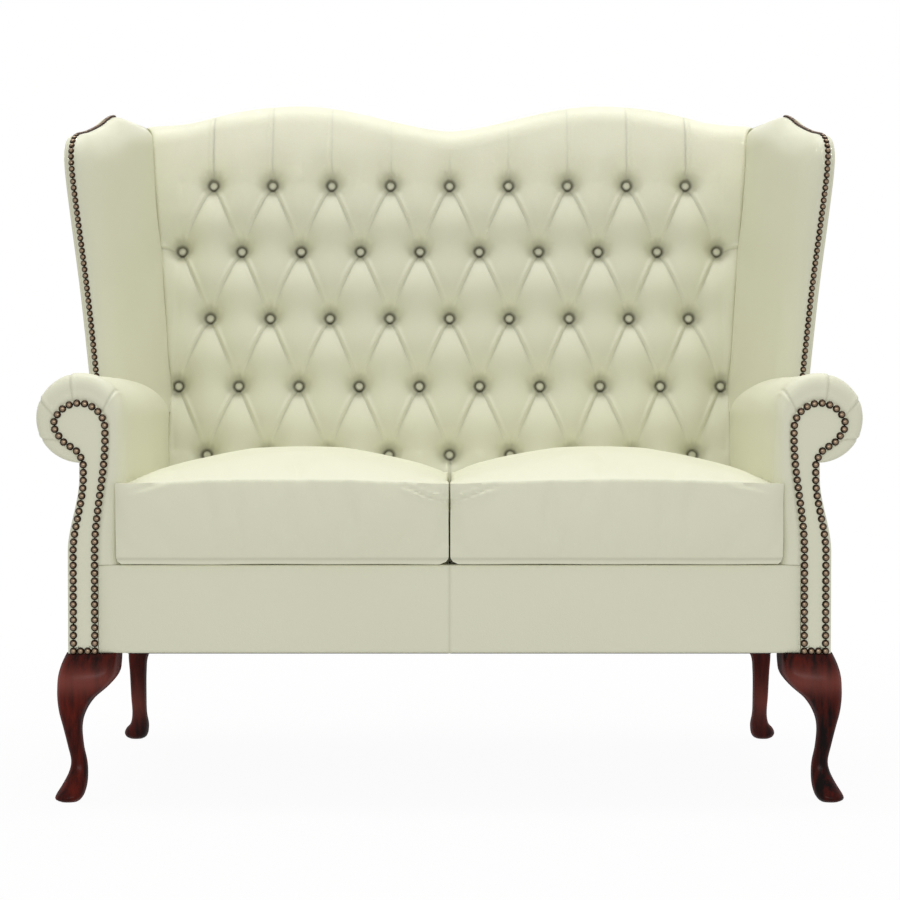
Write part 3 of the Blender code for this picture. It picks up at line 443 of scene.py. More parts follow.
class Bench:
    """Operator calls that make, close and finish meshes."""

    @staticmethod
    def clear() -> None:
        """Leave edit mode and select nothing."""
        if bpy.context.object is not None and bpy.context.object.mode != "OBJECT":
            bpy.ops.object.mode_set(mode="OBJECT")
        bpy.ops.object.select_all(action="DESELECT")

    @staticmethod
    def pick(piece: Piece) -> None:
        """Make a piece the only selected and the active one.

        Args:
            piece: The piece.
        """
        Bench.clear()
        piece.select_set(True)
        bpy.context.view_layer.objects.active = piece

    @staticmethod
    @contextmanager
    def editing(piece: Piece) -> Iterator[None]:
        """Edit mode on a piece, with all of it selected.

        Args:
            piece: The piece.

        Returns:
            The span of a with statement.
        """
        Bench.pick(piece)
        bpy.ops.object.mode_set(mode="EDIT")
        bpy.ops.mesh.select_all(action="SELECT")
        yield
        bpy.ops.object.mode_set(mode="OBJECT")

    @staticmethod
    @contextmanager
    def chosen(piece: Piece, kind: str, choice: Array) -> Iterator[None]:
        """Edit mode on a piece with only some of its edges or faces selected.

        Args:
            piece: The piece.
            kind: EDGE or FACE.
            choice: Whether each edge or face is selected.

        Returns:
            The span of a with statement.
        """
        Bench.pick(piece)
        bpy.ops.object.mode_set(mode="EDIT")
        bpy.ops.mesh.select_mode(type=kind)
        bpy.ops.mesh.select_all(action="DESELECT")
        bpy.ops.object.mode_set(mode="OBJECT")
        parts = piece.data.edges if kind == "EDGE" else piece.data.polygons
        parts.foreach_set("select", choice)
        bpy.ops.object.mode_set(mode="EDIT")
        yield
        bpy.ops.mesh.select_mode(type="VERT")
        bpy.ops.object.mode_set(mode="OBJECT")

    @staticmethod
    def name(piece: Piece, name: str) -> Piece:
        """Give a piece and its mesh one name, and hand the piece back."""
        piece.name = piece.data.name = name
        return piece

    @staticmethod
    def places(piece: Piece) -> Array:
        """Vertex places of a piece, one row each.

        Args:
            piece: The piece.

        Returns:
            X, Y and Z of each vertex.
        """
        flat = np.empty(len(piece.data.vertices) * 3)
        piece.data.vertices.foreach_get("co", flat)
        return flat.reshape(-1, 3)

    @staticmethod
    def normals(piece: Piece) -> Array:
        """Vertex normals of a piece, one row each.

        Args:
            piece: The piece.

        Returns:
            The direction at each vertex.
        """
        flat = np.empty(len(piece.data.vertices) * 3)
        piece.data.vertex_normals.foreach_get("vector", flat)
        return flat.reshape(-1, 3)

    @staticmethod
    def move(piece: Piece, places: Array) -> None:
        """Put the vertices of a piece at new places."""
        piece.data.vertices.foreach_set("co", np.ascontiguousarray(places, dtype=float).ravel())
        piece.data.update()

    @staticmethod
    def mark(piece: Piece, name: str, values: Array) -> None:
        """Store one number at each vertex, for the finish to read."""
        layer = piece.data.attributes.new(name=name, type="FLOAT", domain="POINT")
        layer.data.foreach_set("value", np.ascontiguousarray(values, dtype=float).ravel())

    @staticmethod
    def sheet(name: str, points: Array) -> Piece:
        """A grid whose vertices are moved to given places, in rows and columns.

        Args:
            name: Name of the piece.
            points: Places by row and column.

        Returns:
            The new piece.
        """
        rows, columns = points.shape[:2]
        Bench.clear()
        bpy.ops.mesh.primitive_grid_add(x_subdivisions=columns - 1, y_subdivisions=rows - 1, size=2.0)
        piece = Bench.name(bpy.context.object, name)
        Bench.move(piece, points.reshape(-1, 3))
        return piece

    @staticmethod
    def cube(name: str, place: Sequence[float], size: Sequence[float]) -> Piece:
        """A box round a place, with its sizes applied.

        Args:
            name: Name of the piece.
            place: Its middle.
            size: Its three sizes.

        Returns:
            The new piece.
        """
        Bench.clear()
        bpy.ops.mesh.primitive_cube_add(size=1.0, location=tuple(place), scale=tuple(size))
        piece = Bench.name(bpy.context.object, name)
        bpy.ops.object.transform_apply(location=True, rotation=True, scale=True)
        return piece

    @staticmethod
    def ball(segments: int, rings: int, radius: float) -> Piece:
        """A sphere to shape a pattern from.

        Args:
            segments: Faces round it.
            rings: Faces from pole to pole.
            radius: Its radius.

        Returns:
            The sphere.
        """
        Bench.clear()
        bpy.ops.mesh.primitive_uv_sphere_add(segments=segments, ring_count=rings, radius=radius)
        return bpy.context.object

    @staticmethod
    def close(piece: Piece, fill: bool = False) -> None:
        """Weld a piece and, if asked, close its open ends and turn its faces outwards.

        Args:
            piece: The piece.
            fill: Whether open ends are closed too.
        """
        with Bench.editing(piece):
            bpy.ops.mesh.remove_doubles(threshold=WELD)
            if fill:
                bpy.ops.mesh.select_all(action="SELECT")
                bpy.ops.mesh.fill_holes(sides=0)
                bpy.ops.mesh.select_all(action="SELECT")
                bpy.ops.mesh.normals_make_consistent(inside=False)

    @staticmethod
    def flip(piece: Piece) -> None:
        """Turn all faces of a piece over."""
        with Bench.editing(piece):
            bpy.ops.mesh.flip_normals()

    @staticmethod
    def turn_out(piece: Piece, towards: Triple) -> None:
        """Flip an open sheet whose faces mostly look away from a direction."""
        if sum(face.normal.dot(Vector(towards)) * face.area for face in piece.data.polygons) < 0.0:
            Bench.flip(piece)

    @staticmethod
    def mirror(piece: Piece, side: Side) -> None:
        """Turn a piece shaped for the right-hand side to its side.

        Args:
            piece: The piece.
            side: The side that it belongs to.
        """
        if side is Side.LEFT:
            Bench.move(piece, Bench.places(piece) * np.array([-1.0, 1.0, 1.0]))
            Bench.flip(piece)

    @staticmethod
    def apply(piece: Piece, kind: str, **settings: object) -> None:
        """Add a modifier with settings and apply it.

        Args:
            piece: The piece.
            kind: The modifier's type.
            settings: Its properties.
        """
        Bench.pick(piece)
        change = piece.modifiers.new("work", kind)
        for key, value in settings.items():
            setattr(change, key, value)
        bpy.ops.object.modifier_apply(modifier=change.name)

    @staticmethod
    def thicken(piece: Piece, thickness: float) -> None:
        """Give an open sheet its thickness, inwards."""
        Bench.apply(piece, "SOLIDIFY", thickness=thickness, offset=-1.0, use_even_offset=False)

    @staticmethod
    def shade(piece: Piece, angle: float) -> None:
        """Shade a piece smooth, with edges sharper than an angle kept."""
        Bench.pick(piece)
        bpy.ops.object.shade_smooth_by_angle(angle=math.radians(angle))

    @staticmethod
    def copies(name: str, pattern: Piece, matrices: Sequence[Matrix]) -> Piece:
        """One piece made of copies of a pattern, each with its own mesh.

        Args:
            name: Name of the new piece.
            pattern: The shape that repeats; it is removed.
            matrices: Place and turn of each copy.

        Returns:
            The joined piece.
        """
        Bench.clear()
        made = []
        for matrix in matrices:
            copy = pattern.copy()
            copy.data = pattern.data.copy()
            copy.data.transform(matrix)
            bpy.context.scene.collection.objects.link(copy)
            made.append(copy)
        bpy.data.objects.remove(pattern)
        for copy in made:
            copy.select_set(True)
        bpy.context.view_layer.objects.active = made[0]
        bpy.ops.object.join()
        return Bench.name(bpy.context.object, name)


class Recipe:
    """Shader nodes of a material or a world under construction."""

    def __init__(self, owner: Material | bpy.types.World, shader: str = "Principled BSDF") -> None:
        """Start from the shader that the owner's nodes come with.

        Args:
            owner: The material or world.
            shader: Name of its shader node.
        """
        owner.use_nodes = True
        self.owner = owner
        self.tree = owner.node_tree
        self.shader = self.tree.nodes[shader]

    def put(self, node: bpy.types.Node, name: str | int, value: object) -> None:
        """Wire a socket to a node's input, or set that input to a constant.

        Args:
            node: The node.
            name: Name or number of the input.
            value: The socket or constant.
        """
        if isinstance(value, Socket):
            self.tree.links.new(value, node.inputs[name])
        else:
            node.inputs[name].default_value = value

    def set(self, **inputs: object) -> None:
        """Feed inputs of the shader, written with underscores."""
        for key, value in inputs.items():
            self.put(self.shader, key.replace("_", " "), value)

    def node(self, kind: str, **settings: object) -> bpy.types.Node:
        """Add a node.

        Args:
            kind: Its type, without the ShaderNode prefix.
            settings: Properties, or inputs written as in_Name.

        Returns:
            The node.
        """
        made = self.tree.nodes.new("ShaderNode" + kind)
        for key, value in settings.items():
            if key.startswith("in_"):
                self.put(made, key[3:].replace("_", " "), value)
            else:
                setattr(made, key, value)
        return made

    def coordinates(self, scale: Triple = (1, 1, 1)) -> Socket:
        """Object coordinates, scaled."""
        place = self.node("TexCoord").outputs["Object"]
        return self.node("Mapping", in_Vector=place, in_Scale=scale).outputs["Vector"]

    def noise(self, scale: float, detail: float, stretch: Triple = (1, 1, 1), rough: float = 0.5) -> Socket:
        """Noise on object coordinates.

        Args:
            scale: Waves for each metre.
            detail: Octaves.
            stretch: Scale of each axis.
            rough: Weight of the fine octaves.

        Returns:
            Its number output.
        """
        made = self.node("TexNoise", in_Vector=self.coordinates(stretch), in_Scale=scale, in_Detail=detail,
                         in_Roughness=rough)
        return made.outputs["Fac"]

    def cells(self, scale: float, feature: str = "F1") -> Socket:
        """Cell pattern on object coordinates."""
        made = self.node("TexVoronoi", feature=feature, in_Vector=self.coordinates(), in_Scale=scale)
        return made.outputs["Distance"]

    def ramp(self, source: Socket, stops: Sequence[tuple[float, Triple]]) -> Socket:
        """Colours by a number, from positions with their colours.

        Args:
            source: The number.
            stops: Positions with their colours.

        Returns:
            The colour.
        """
        made = self.node("ValToRGB", in_Fac=source)
        ramp = made.color_ramp
        while len(ramp.elements) < len(stops):
            ramp.elements.new(0.5)
        for element, (position, colour) in zip(ramp.elements, stops):
            element.position = position
            element.color = (*colour, 1.0)
        return made.outputs["Color"]

    def spread(self, source: Socket, low: float, high: float) -> Socket:
        """A number from 0 to 1 spread between two others."""
        return self.node("MapRange", in_Value=source, in_To_Min=low, in_To_Max=high).outputs["Result"]

    def math(self, operation: str, first: Socket, second: Socket | float) -> Socket:
        """Two numbers joined by an operation of the Math node.

        Args:
            operation: Its name.
            first: The first number.
            second: The second number.

        Returns:
            The result.
        """
        made = self.node("Math", operation=operation)
        self.put(made, 0, first)
        self.put(made, 1, second)
        return made.outputs["Value"]

    def blend(self, share: Socket | float, first: Socket | Triple, second: Socket | Triple,
              how: str = "MIX") -> Socket:
        """Two colours mixed by a share.

        Args:
            share: Share of the second colour.
            first: The first colour.
            second: The second colour.
            how: The node's blend type.

        Returns:
            The mixed colour.
        """
        made = self.node("Mix", data_type="RGBA", blend_type=how)
        for place, value in ((0, share), (6, first), (7, second)):
            self.put(made, place, (*value, 1.0) if isinstance(value, tuple) else value)
        return made.outputs[2]

    def value_of(self, attribute: str) -> Socket:
        """Number that a piece stores at its vertices."""
        return self.node("Attribute", attribute_name=attribute).outputs["Fac"]

    def bumps(self, *layers: tuple[Socket, float]) -> None:
        """Surface relief from heights and their depths in metres, finest last.

        Args:
            layers: Each height with its depth.
        """
        before: Optional[Socket] = None
        for height, depth in layers:
            made = self.node("Bump", in_Strength=1.0, in_Distance=depth, in_Height=height)
            if before is not None:
                self.put(made, "Normal", before)
            before = made.outputs["Normal"]
        self.set(Normal=before)


@dataclass(frozen=True)
class Finish:
    """A procedural material for one slot."""

    slot: Slot

    def recipe(self) -> Recipe:
        """Start the material."""
        return Recipe(bpy.data.materials.new(self.slot.value))


@dataclass(frozen=True)
class LeatherFinish(Finish):
    """Ivory hide with a fine grain and soft creases, darkened by painted shade where a piece marks it in its
    folds, dimples, seams and shaded faces.
    """

    colour: Triple = (0.728, 0.726, 0.552)
    pale: Triple = (0.780, 0.780, 0.622)
    # Colour of the painted shade that darkens folds, dimples and seams.
    fold: Triple = (0.070, 0.066, 0.034)
    roughness: float = 0.46
    gloss: float = 0.26
    grain: float = 620.0
    pores: float = 2600.0
    grain_depth: float = 0.00012
    pore_depth: float = 0.00005
    crease_depth: float = 0.0010

    def material(self) -> Material:
        """Build the material.

        Returns:
            The material.
        """
        recipe = self.recipe()
        cloud = recipe.spread(recipe.noise(2.6, 4.0), 0.15, 0.75)
        body = recipe.blend(cloud, self.colour, self.pale)
        grain = recipe.cells(self.grain, "SMOOTH_F1")
        speckled = recipe.blend(0.5, body, recipe.spread(grain, 0.93, 1.0), "MULTIPLY")
        rough = recipe.spread(recipe.noise(14.0, 3.0), self.roughness - 0.06, self.roughness + 0.08)
        # Painted shade: the base colour is mixed towards the dark colour by the share that each piece marks.
        recipe.set(Base_Color=recipe.blend(recipe.value_of("fold"), speckled, self.fold),
                   Roughness=rough, Specular_IOR_Level=self.gloss)
        recipe.bumps((recipe.noise(9.0, 2.0, rough=0.4), self.crease_depth), (grain, self.grain_depth),
                     (recipe.noise(self.pores, 2.0), self.pore_depth))
        return recipe.owner


@dataclass(frozen=True)
class WoodFinish(Finish):
    """Wood with a grain that runs along one axis, plain or polished, and a painted highlight where a piece
    marks one.
    """

    dark: Triple
    light: Triple
    run: Triple
    roughness: float
    shine: float
    streaks: float = 90.0
    edge_dull: float = 0.8
    # Colour of the painted highlight, mixed in by the share that a piece marks.
    rubbed: Triple = (0.250, 0.066, 0.052)
    pore_depth: float = 0.00012

    def material(self) -> Material:
        """Build the material.

        Returns:
            The material.
        """
        recipe = self.recipe()
        fine = recipe.noise(self.streaks, 6.0, self.run, 0.62)
        broad = recipe.noise(self.streaks * 0.22, 3.0, self.run)
        figure = recipe.math("MULTIPLY", recipe.math("ADD", fine, broad), 0.5)
        middle = tuple((a + b) / 2 for a, b in zip(self.dark, self.light))
        colour = recipe.ramp(figure, [(0.41, self.dark), (0.53, middle), (0.66, self.light)])
        # Painted highlight: the marked share, broken up by the broad grain, lightens the colour.
        rubbed = recipe.math("MULTIPLY", recipe.value_of("rub"), recipe.spread(broad, 0.35, 1.15))
        pores = recipe.noise(self.streaks * 5.0, 2.0, self.run)
        rough = recipe.spread(pores, self.roughness - 0.04, self.roughness + 0.08)
        edge_on = recipe.node("LayerWeight", in_Blend=0.5).outputs["Facing"]
        dull = recipe.math("MULTIPLY", recipe.math("POWER", edge_on, 2.6), self.edge_dull)
        recipe.set(Base_Color=recipe.blend(rubbed, colour, self.rubbed),
                   Roughness=recipe.math("ADD", rough, dull), Specular_IOR_Level=self.shine)
        recipe.bumps((pores, self.pore_depth))
        return recipe.owner


@dataclass(frozen=True)
class MetalFinish(Finish):
    """Metal with random stains whose crowns are lighter than their rims: a painted highlight on the crowns,
    patina and painted shade at the rims.
    """

    low: Triple
    crown: Triple
    roughness: float
    pits: float = 900.0
    pit_depth: float = 0.00008

    def material(self) -> Material:
        """Build the material.

        Returns:
            The material.
        """
        recipe = self.recipe()
        stain = recipe.spread(recipe.noise(self.pits, 3.0), -0.22, 0.22)
        # Painted highlight: the crown share, with random stains, mixes the rim colour towards the crown
        # colour.
        stain_and_highlight = recipe.node("Clamp", in_Value=recipe.math("ADD", recipe.value_of("crown"), stain))
        smear = recipe.noise(self.pits * 0.7, 2.0)
        recipe.set(Base_Color=recipe.blend(stain_and_highlight.outputs["Result"], self.low, self.crown), Metallic=0.92,
                   Roughness=recipe.spread(smear, self.roughness - 0.06, self.roughness + 0.10))
        recipe.bumps((recipe.noise(self.pits, 3.0), self.pit_depth))
        return recipe.owner


@dataclass(frozen=True)
class WovenFinish(Finish):
    """Plain-woven or pressed cloth."""

    thread: Triple
    gap: Triple
    pitch: float
    depth: float

    def material(self) -> Material:
        """Build the material.

        Returns:
            The material.
        """
        recipe = self.recipe()
        waves = [recipe.node("TexWave", wave_type="BANDS", bands_direction=axis, in_Distortion=0.6,
                             in_Scale=1.0 / (self.pitch * 3.2), in_Detail=1.0,
                             in_Vector=recipe.coordinates()).outputs["Fac"] for axis in ("X", "Y")]
        weave = recipe.math("MULTIPLY", recipe.math("MULTIPLY", *waves), 0.7)
        fuzz = recipe.math("MULTIPLY", recipe.noise(1.0 / self.pitch, 3.0), 0.3)
        height = recipe.math("ADD", weave, fuzz)
        recipe.set(Base_Color=recipe.ramp(height, [(0.08, self.gap), (0.55, self.thread)]),
                   Roughness=0.92, Sheen_Weight=0.12)
        recipe.bumps((height, self.depth))
        return recipe.owner


@dataclass(frozen=True)
class FoamFinish(Finish):
    """Open-cell seating foam."""

    colour: Triple = (0.80, 0.75, 0.55)
    shade: Triple = (0.56, 0.50, 0.33)
    cell_depth: float = 0.0006

    def material(self) -> Material:
        """Build the material.

        Returns:
            The material.
        """
        recipe = self.recipe()
        cells = recipe.cells(420.0)
        recipe.set(Base_Color=recipe.ramp(cells, [(0.1, self.shade), (0.6, self.colour)]), Roughness=0.95)
        recipe.bumps((cells, self.cell_depth))
        return recipe.owner


def all_finishes() -> Finishes:
    """Build every finish once, by its slot."""
    kinds = (LeatherFinish(Slot.LEATHER),
             WoodFinish(Slot.MAHOGANY, (0.0034, 0.0004, 0.0002), (0.120, 0.0090, 0.0030),
                        (1.0, 1.0, 0.07), 0.22, 0.095, 120.0),
             WoodFinish(Slot.BEECH, (0.42, 0.27, 0.14), (0.60, 0.43, 0.25), (0.06, 1.0, 1.0), 0.62, 0.3),
             # Nail rims dark and crowns light: patina and painted shade at the rims, a painted highlight on
             # the crowns.
             MetalFinish(Slot.NAIL, (0.026, 0.013, 0.007), (0.285, 0.208, 0.138), 0.26),
             MetalFinish(Slot.STEEL, (0.30, 0.30, 0.31), (0.55, 0.55, 0.56), 0.36),
             WovenFinish(Slot.DECK, (0.62, 0.58, 0.47), (0.36, 0.33, 0.25), 0.0011, 0.0003),
             WovenFinish(Slot.DUST, (0.032, 0.032, 0.034), (0.012, 0.012, 0.013), 0.0016, 0.0003),
             WovenFinish(Slot.HESSIAN, (0.45, 0.33, 0.19), (0.16, 0.11, 0.06), 0.0024, 0.0008),
             FoamFinish(Slot.FOAM))
    return {kind.slot: kind.material() for kind in kinds}


@dataclass
class Maker:
    """Builds pieces of one side, or of the whole sofa, and dresses them."""

    finishes: Finishes
    side: Side = Side.RIGHT

    def named(self, word: str) -> str:
        """Name of a piece or node on this side."""
        return f"{self.side.label}_{word}"

    def dress(self, piece: Piece, slot: Slot, angle: Optional[float], nodes: Sequence[str] = (),
              fill: Optional[float] = None, body: str = FRAME_BODY) -> None:
        """Put a finished piece on its side and give it all that it carries.

        Args:
            piece: The piece, shaped for the right-hand side.
            slot: The record's slot of its finish.
            angle: Sharpest edge in degrees that is shaded smooth, or None for flat faces.
            nodes: CAD nodes that it replaces.
            fill: How tightly it is stuffed, for a padded piece; not used.
            body: Body that it rides on.
        """
        Bench.mirror(piece, self.side)
        if angle is not None:
            Bench.shade(piece, angle)
        piece.data.materials.clear()
        piece.data.materials.append(self.finishes[slot])
        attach(piece, body)
        if nodes:
            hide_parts(*nodes)
        LOG.info("%s: %d faces, on %s", piece.name, len(piece.data.polygons), body)

    def upholster(self, piece: Piece, node: str, towards: Triple, angle: float = 50.0,
                  fill: Optional[float] = None) -> None:
        """Finish an open sheet of leather.

        Args:
            piece: The sheet.
            node: CAD node that it replaces.
            towards: Direction that its faces look in.
            angle: Sharpest edge in degrees that is shaded smooth.
            fill: How tightly it is stuffed, for a padded piece.
        """
        Bench.turn_out(piece, towards)
        Bench.thicken(piece, SIZES.hide)
        self.dress(piece, Slot.LEATHER, angle, [node], fill)


@dataclass
class TuftedBack(Maker):
    """The inside back: deep-buttoned leather over foam, rolled over the top rail."""

    button_pitch: float = 0.1094
    row_pitch: float = 0.1280
    first_row: float = 0.0775
    rows: int = 4
    half: float = 4.5
    base: float = 0.0183
    depth: float = 0.040
    rear: float = 0.0028
    lip: float = 0.050
    crest: float = 0.010
    seam_drop: float = 0.015
    step: float = 0.0020
    tucked: float = 0.040
    widest: float = 0.53
    fold_rise: float = 0.0021
    fold_shade: float = 0.31
    fold_valley: float = 0.0018
    shade_off: float = 0.0012
    shade_width: float = 0.0016
    pleat_rise: float = 0.0022
    pucker_rise: float = 0.0010
    pit_narrow: float = 0.0165
    pit_wide: float = 0.041
    # Strength of the painted shade in a patch above each button.
    smoke: float = 0.38
    seat_shade: float = 0.088
    button_radius: float = 0.0090
    button_sink: float = 0.0016
    button_tilt: float = 0.10
    side_round: float = 0.0085
    side_drop: float = 0.0100
    end_round: float = 0.0140
    end_fall: float = 0.0055
    end_reach: float = 0.0230
    end_run: float = 0.0600

    def to_world(self, x: Amount, s: Amount, t: Amount) -> Array:
        """Places from X, length up the lean and distance off the posts."""
        c, n = SIZES.upright, math.sin(SIZES.back_rake)
        return np.stack([x, SIZES.front_y + SIZES.frame_depth + s * n - t * c,
                         SIZES.post_kink + s * c + t * n], axis=-1)

    def edge(self, s: Array) -> Array:
        """Half width of the inside back, where it meets a wing or an arm.

        Args:
            s: Lengths up the lean.

        Returns:
            The half width at each.
        """
        height = SIZES.post_kink + s * SIZES.upright
        setback = SIZES.post_front(height) - 0.050 / SIZES.upright
        beside = SIZES.wing_face(setback, np.maximum(height, SIZES.arm_height - 0.040))
        ahead = SIZES.post_front(SIZES.arm_height) - setback
        beside = beside + SIZES.hollow(ahead, height - SIZES.arm_height)
        blend = smooth((height - SIZES.arm_height + 0.02) / 0.06)
        return mix(SIZES.seat_half + 0.003, beside + 0.0012, blend)

    def top(self, x: Array) -> Array:
        """Length up the lean of the camel line."""
        return (SIZES.camel(x) - SIZES.post_kink) / SIZES.upright

    def fold_section(self, out: Array) -> Array:
        """Section of a pleat that lies over its lower neighbour, by distance to its upper side."""
        return bell(out - 0.0040, 0.0034) - 0.8 * bell(out + 0.0014, 0.0022)

    def crease(self, out: Array) -> Array:
        """Painted shade along the crease of a pleat, by distance to its upper side."""
        return bell(out + self.shade_off, self.shade_width)

    def pit(self, dx: Array, ds: Array) -> Array:
        """Depth of the dimple round a button, steeper above it."""
        away = np.hypot(dx, np.where(ds > 0.0, ds * 1.15, ds * 0.92))
        return 0.60 * bell(away, self.pit_narrow) + 0.40 * bell(away, self.pit_wide)

    def pucker(self, dx: Array, ds: Array) -> Array:
        """Short gathers that run into a button, most of them from above.

        Args:
            dx: Distances beside the button.
            ds: Distances above it.

        Returns:
            The rise at each place.
        """
        turn = np.arctan2(ds, dx)
        reach = bell(np.hypot(dx, ds) - 0.019, 0.0085)
        above = 0.12 + 0.88 * np.maximum(0.0, np.sin(turn))
        return self.pucker_rise * reach * np.cos(10.0 * turn) * above

    def shade(self, dx: Array, ds: Array) -> Array:
        """Painted shade in a ring deep in a dimple and in a patch just above it."""
        ring = bell(np.hypot(dx, ds) - 0.0088, 0.0034)
        return np.maximum(0.80 * ring, self.smoke * bell(np.hypot(dx, ds - 0.007), 0.0150))

    def folds(self, x: Array, s: Array) -> tuple[Array, Array]:
        """Shape of the diamonds.

        Args:
            x: X of each place.
            s: Length up the lean of each place.

        Returns:
            Height in metres, and the painted shade at each place along the creases and round the buttons.
        """
        across = x / self.button_pitch
        up = (s - self.first_row) / self.row_pitch
        p, q = across + up / 2, across - up / 2
        slope = math.hypot(1.0 / self.button_pitch, 0.5 / self.row_pitch)
        pit, relief, shade, dark = (np.zeros_like(x) for _ in range(4))
        for i in (0.0, 1.0):
            for j in (0.0, 1.0):
                corner_p, corner_q = np.floor(p) + i, np.floor(q) + j
                dx = (across - (corner_p + corner_q) / 2) * self.button_pitch
                ds = (up - corner_p + corner_q) * self.row_pitch
                pit = pit + self.pit(dx, ds)
                relief = relief + self.pucker(dx, ds)
                shade = np.maximum(shade, self.shade(dx, ds))
        dome = (np.abs(np.sin(math.pi * p)) * np.abs(np.sin(math.pi * q))) ** 0.62
        share = (0.84 + 0.16 * dome) * (1.0 - np.minimum(pit, 1.0))
        for off, along, sign in ((p - np.rint(p), q - np.floor(q), 1.0),
                                 (q - np.rint(q), np.ceil(p) - p, -1.0)):
            strength = (1.0 - 0.62 * smooth((along - 0.34) / 0.50)) * smooth(along / 0.06)
            strength = strength * (1.0 - smooth((along - 0.86) / 0.12))
            far = np.abs(off) / slope
            out = np.where(off * sign > 0.0, far, -far)
            relief = relief + self.fold_rise * strength * self.fold_section(out)
            relief = relief - self.fold_valley * bell(far, 0.015)
            dark = np.maximum(dark, strength * self.crease(out))
        return self.depth * share + relief, np.maximum(dark * self.fold_shade, shade)

    def pleat(self, out: Array, fade: Array, dx: Array, ds: Array, full: float,
              valley: Amount = 0.0) -> tuple[Array, Array]:
        """Shape of the straight pleats that run from the outer buttons to an edge.

        Args:
            out: Distance to the pleat's upper side.
            fade: Strength of the pleat.
            dx: Distance to its button across.
            ds: Distance to its button up the lean.
            full: Share of the full height between the pleats.
            valley: Share of the height lost along the pleat.

        Returns:
            Height in metres, and the painted shade at each place along the pleat and round its button.
        """
        height = (self.depth * (full - np.minimum(self.pit(dx, ds), full)) * (1.0 - valley)
                  + fade * self.pleat_rise * self.fold_section(out) + self.pucker(dx, ds))
        return height, np.maximum(self.fold_shade * fade * self.crease(out), self.shade(dx, ds))

    def field(self, x: Array, s: Array) -> tuple[Array, Array]:
        """Height of the leather off the posts, and the painted shade of its folds and dimples.

        Args:
            x: X of each place.
            s: Length up the lean of each place.

        Returns:
            Heights in metres and darkness from 0 to 1.
        """
        across = x / self.button_pitch
        up = (s - self.first_row) / self.row_pitch
        height, dark = self.folds(x, s)
        column = np.clip(np.rint(across), -4, 4)
        off = (across - column) * self.button_pitch
        upper = up > self.rows / 2
        beyond = np.where(upper, up - self.rows, -up) * self.row_pitch
        strong = 0.04 + 0.96 * (np.abs(column) / 4.0) ** 1.5
        fade = np.where(upper, 1.0 - (1.0 - strong) * smooth(beyond / 0.060), 1.0)
        fade = fade * smooth(beyond / 0.012)
        tall, tall_dark = self.pleat(np.where(column > 0, off, -off), fade, off,
                                     np.where(upper, beyond, -beyond), 0.97,
                                     0.06 * bell(off, 0.020) * fade)
        rise = (up - np.where(upper, 3.0, 1.0)) * self.row_pitch
        run = (np.abs(across) - self.half) * self.button_pitch
        side = np.maximum(run, 0.0)
        flat, flat_dark = self.pleat(rise, smooth(side / 0.010), side, rise, 0.95)
        beside = smooth(run / 0.012)
        over = smooth((np.abs(up - self.rows / 2) - self.rows / 2 + 0.04) / 0.12)
        height = mix(mix(height, flat, beside), tall, over)
        height = height + 0.0011 * sway(x, s, 0.31, 2.0) + 0.0005 * sway(x, s, 0.11, 5.0)
        return self.base + height, mix(mix(dark, flat_dark, beside), tall_dark, over)

    def front_row(self, u: Array, s: Array) -> tuple[Array, Array, Array, Array]:
        """Work out one row of the front.

        Args:
            u: Place across, from -1 to 1.
            s: Length up the lean.

        Returns:
            The row's X, length up the lean, height and painted shade.
        """
        edge = self.edge(s)
        x = u * edge
        t, dark = self.field(x, s)
        rise = (s - self.first_row) / (self.rows * self.row_pitch)
        # Painted shade, darker towards the seat at the foot of the back.
        dark = np.maximum(dark, self.seat_shade * smooth((1.04 - rise) / 0.12))
        height = SIZES.post_kink + s * SIZES.upright
        room = (SIZES.tuck_room + (height - SIZES.post_kink) * SIZES.lean - 0.004) * SIZES.upright
        t = np.where(height < 0.56, np.minimum(t, np.maximum(room, 0.012)), t)
        t = t - self.side_drop * rounding(unit((edge - np.abs(x)) / self.side_round))
        t = np.where(np.abs(u) > 0.9999, self.rear, np.maximum(t, self.rear))
        return x, s, t, dark

    def leather(self) -> None:
        """The buttoned leather from behind the cushions up and over the top rail."""
        low = (SIZES.deck_top + SIZES.fit - SIZES.post_kink) / SIZES.upright + 0.008
        u = np.linspace(-1.0, 1.0, 2 * int(round(self.widest / self.step)) + 1)
        none = np.zeros_like(u)
        top_line = self.top(u * self.widest)
        rows = [self.front_row(u, np.full_like(u, level))
                for level in np.linspace(low, self.tucked, 14)[:-1]]
        for climb in np.linspace(self.tucked, 1.0, int(round(0.64 / self.step))) - self.tucked:
            up = (top_line - self.lip - self.tucked) * climb / (1.0 - self.tucked)
            rows.append(self.front_row(u, self.tucked + up))
        x, s, t, dark = rows[-1]
        away = np.abs(x)
        fall = self.end_fall * rounding(unit((away[0] - away) / self.end_round))
        ending = np.sign(x) * smooth((away - away[0] + self.end_run) / self.end_run)
        for angle in quarter(22)[1:]:
            widen = self.end_reach * (1.0 - math.sqrt(1.0 - math.sin(angle) ** 2))
            rows.append((x + ending * widen, s + (self.lip - fall) * math.sin(angle),
                         self.crest + (t - self.crest) * math.cos(angle), dark * math.cos(angle)))
        behind = -(SIZES.post_depth + 0.0030)
        wide = x + ending * self.end_reach
        for angle in quarter(22)[1:]:
            rows.append((wide, s + self.lip - fall - self.seam_drop * (1.0 - math.cos(angle)),
                         none + self.crest + (behind - self.crest) * math.sin(angle), none))
        under = s + self.lip - fall - self.seam_drop - 0.0045
        first = rows[0]
        rows += [(wide, under, none + behind + 0.002, none), (x, under, none + self.rear, none),
                 (first[0], first[1], none + self.rear, none), (first[0], first[1], first[2], none)]
        x, s, t, dark = np.array(rows).transpose(1, 0, 2)
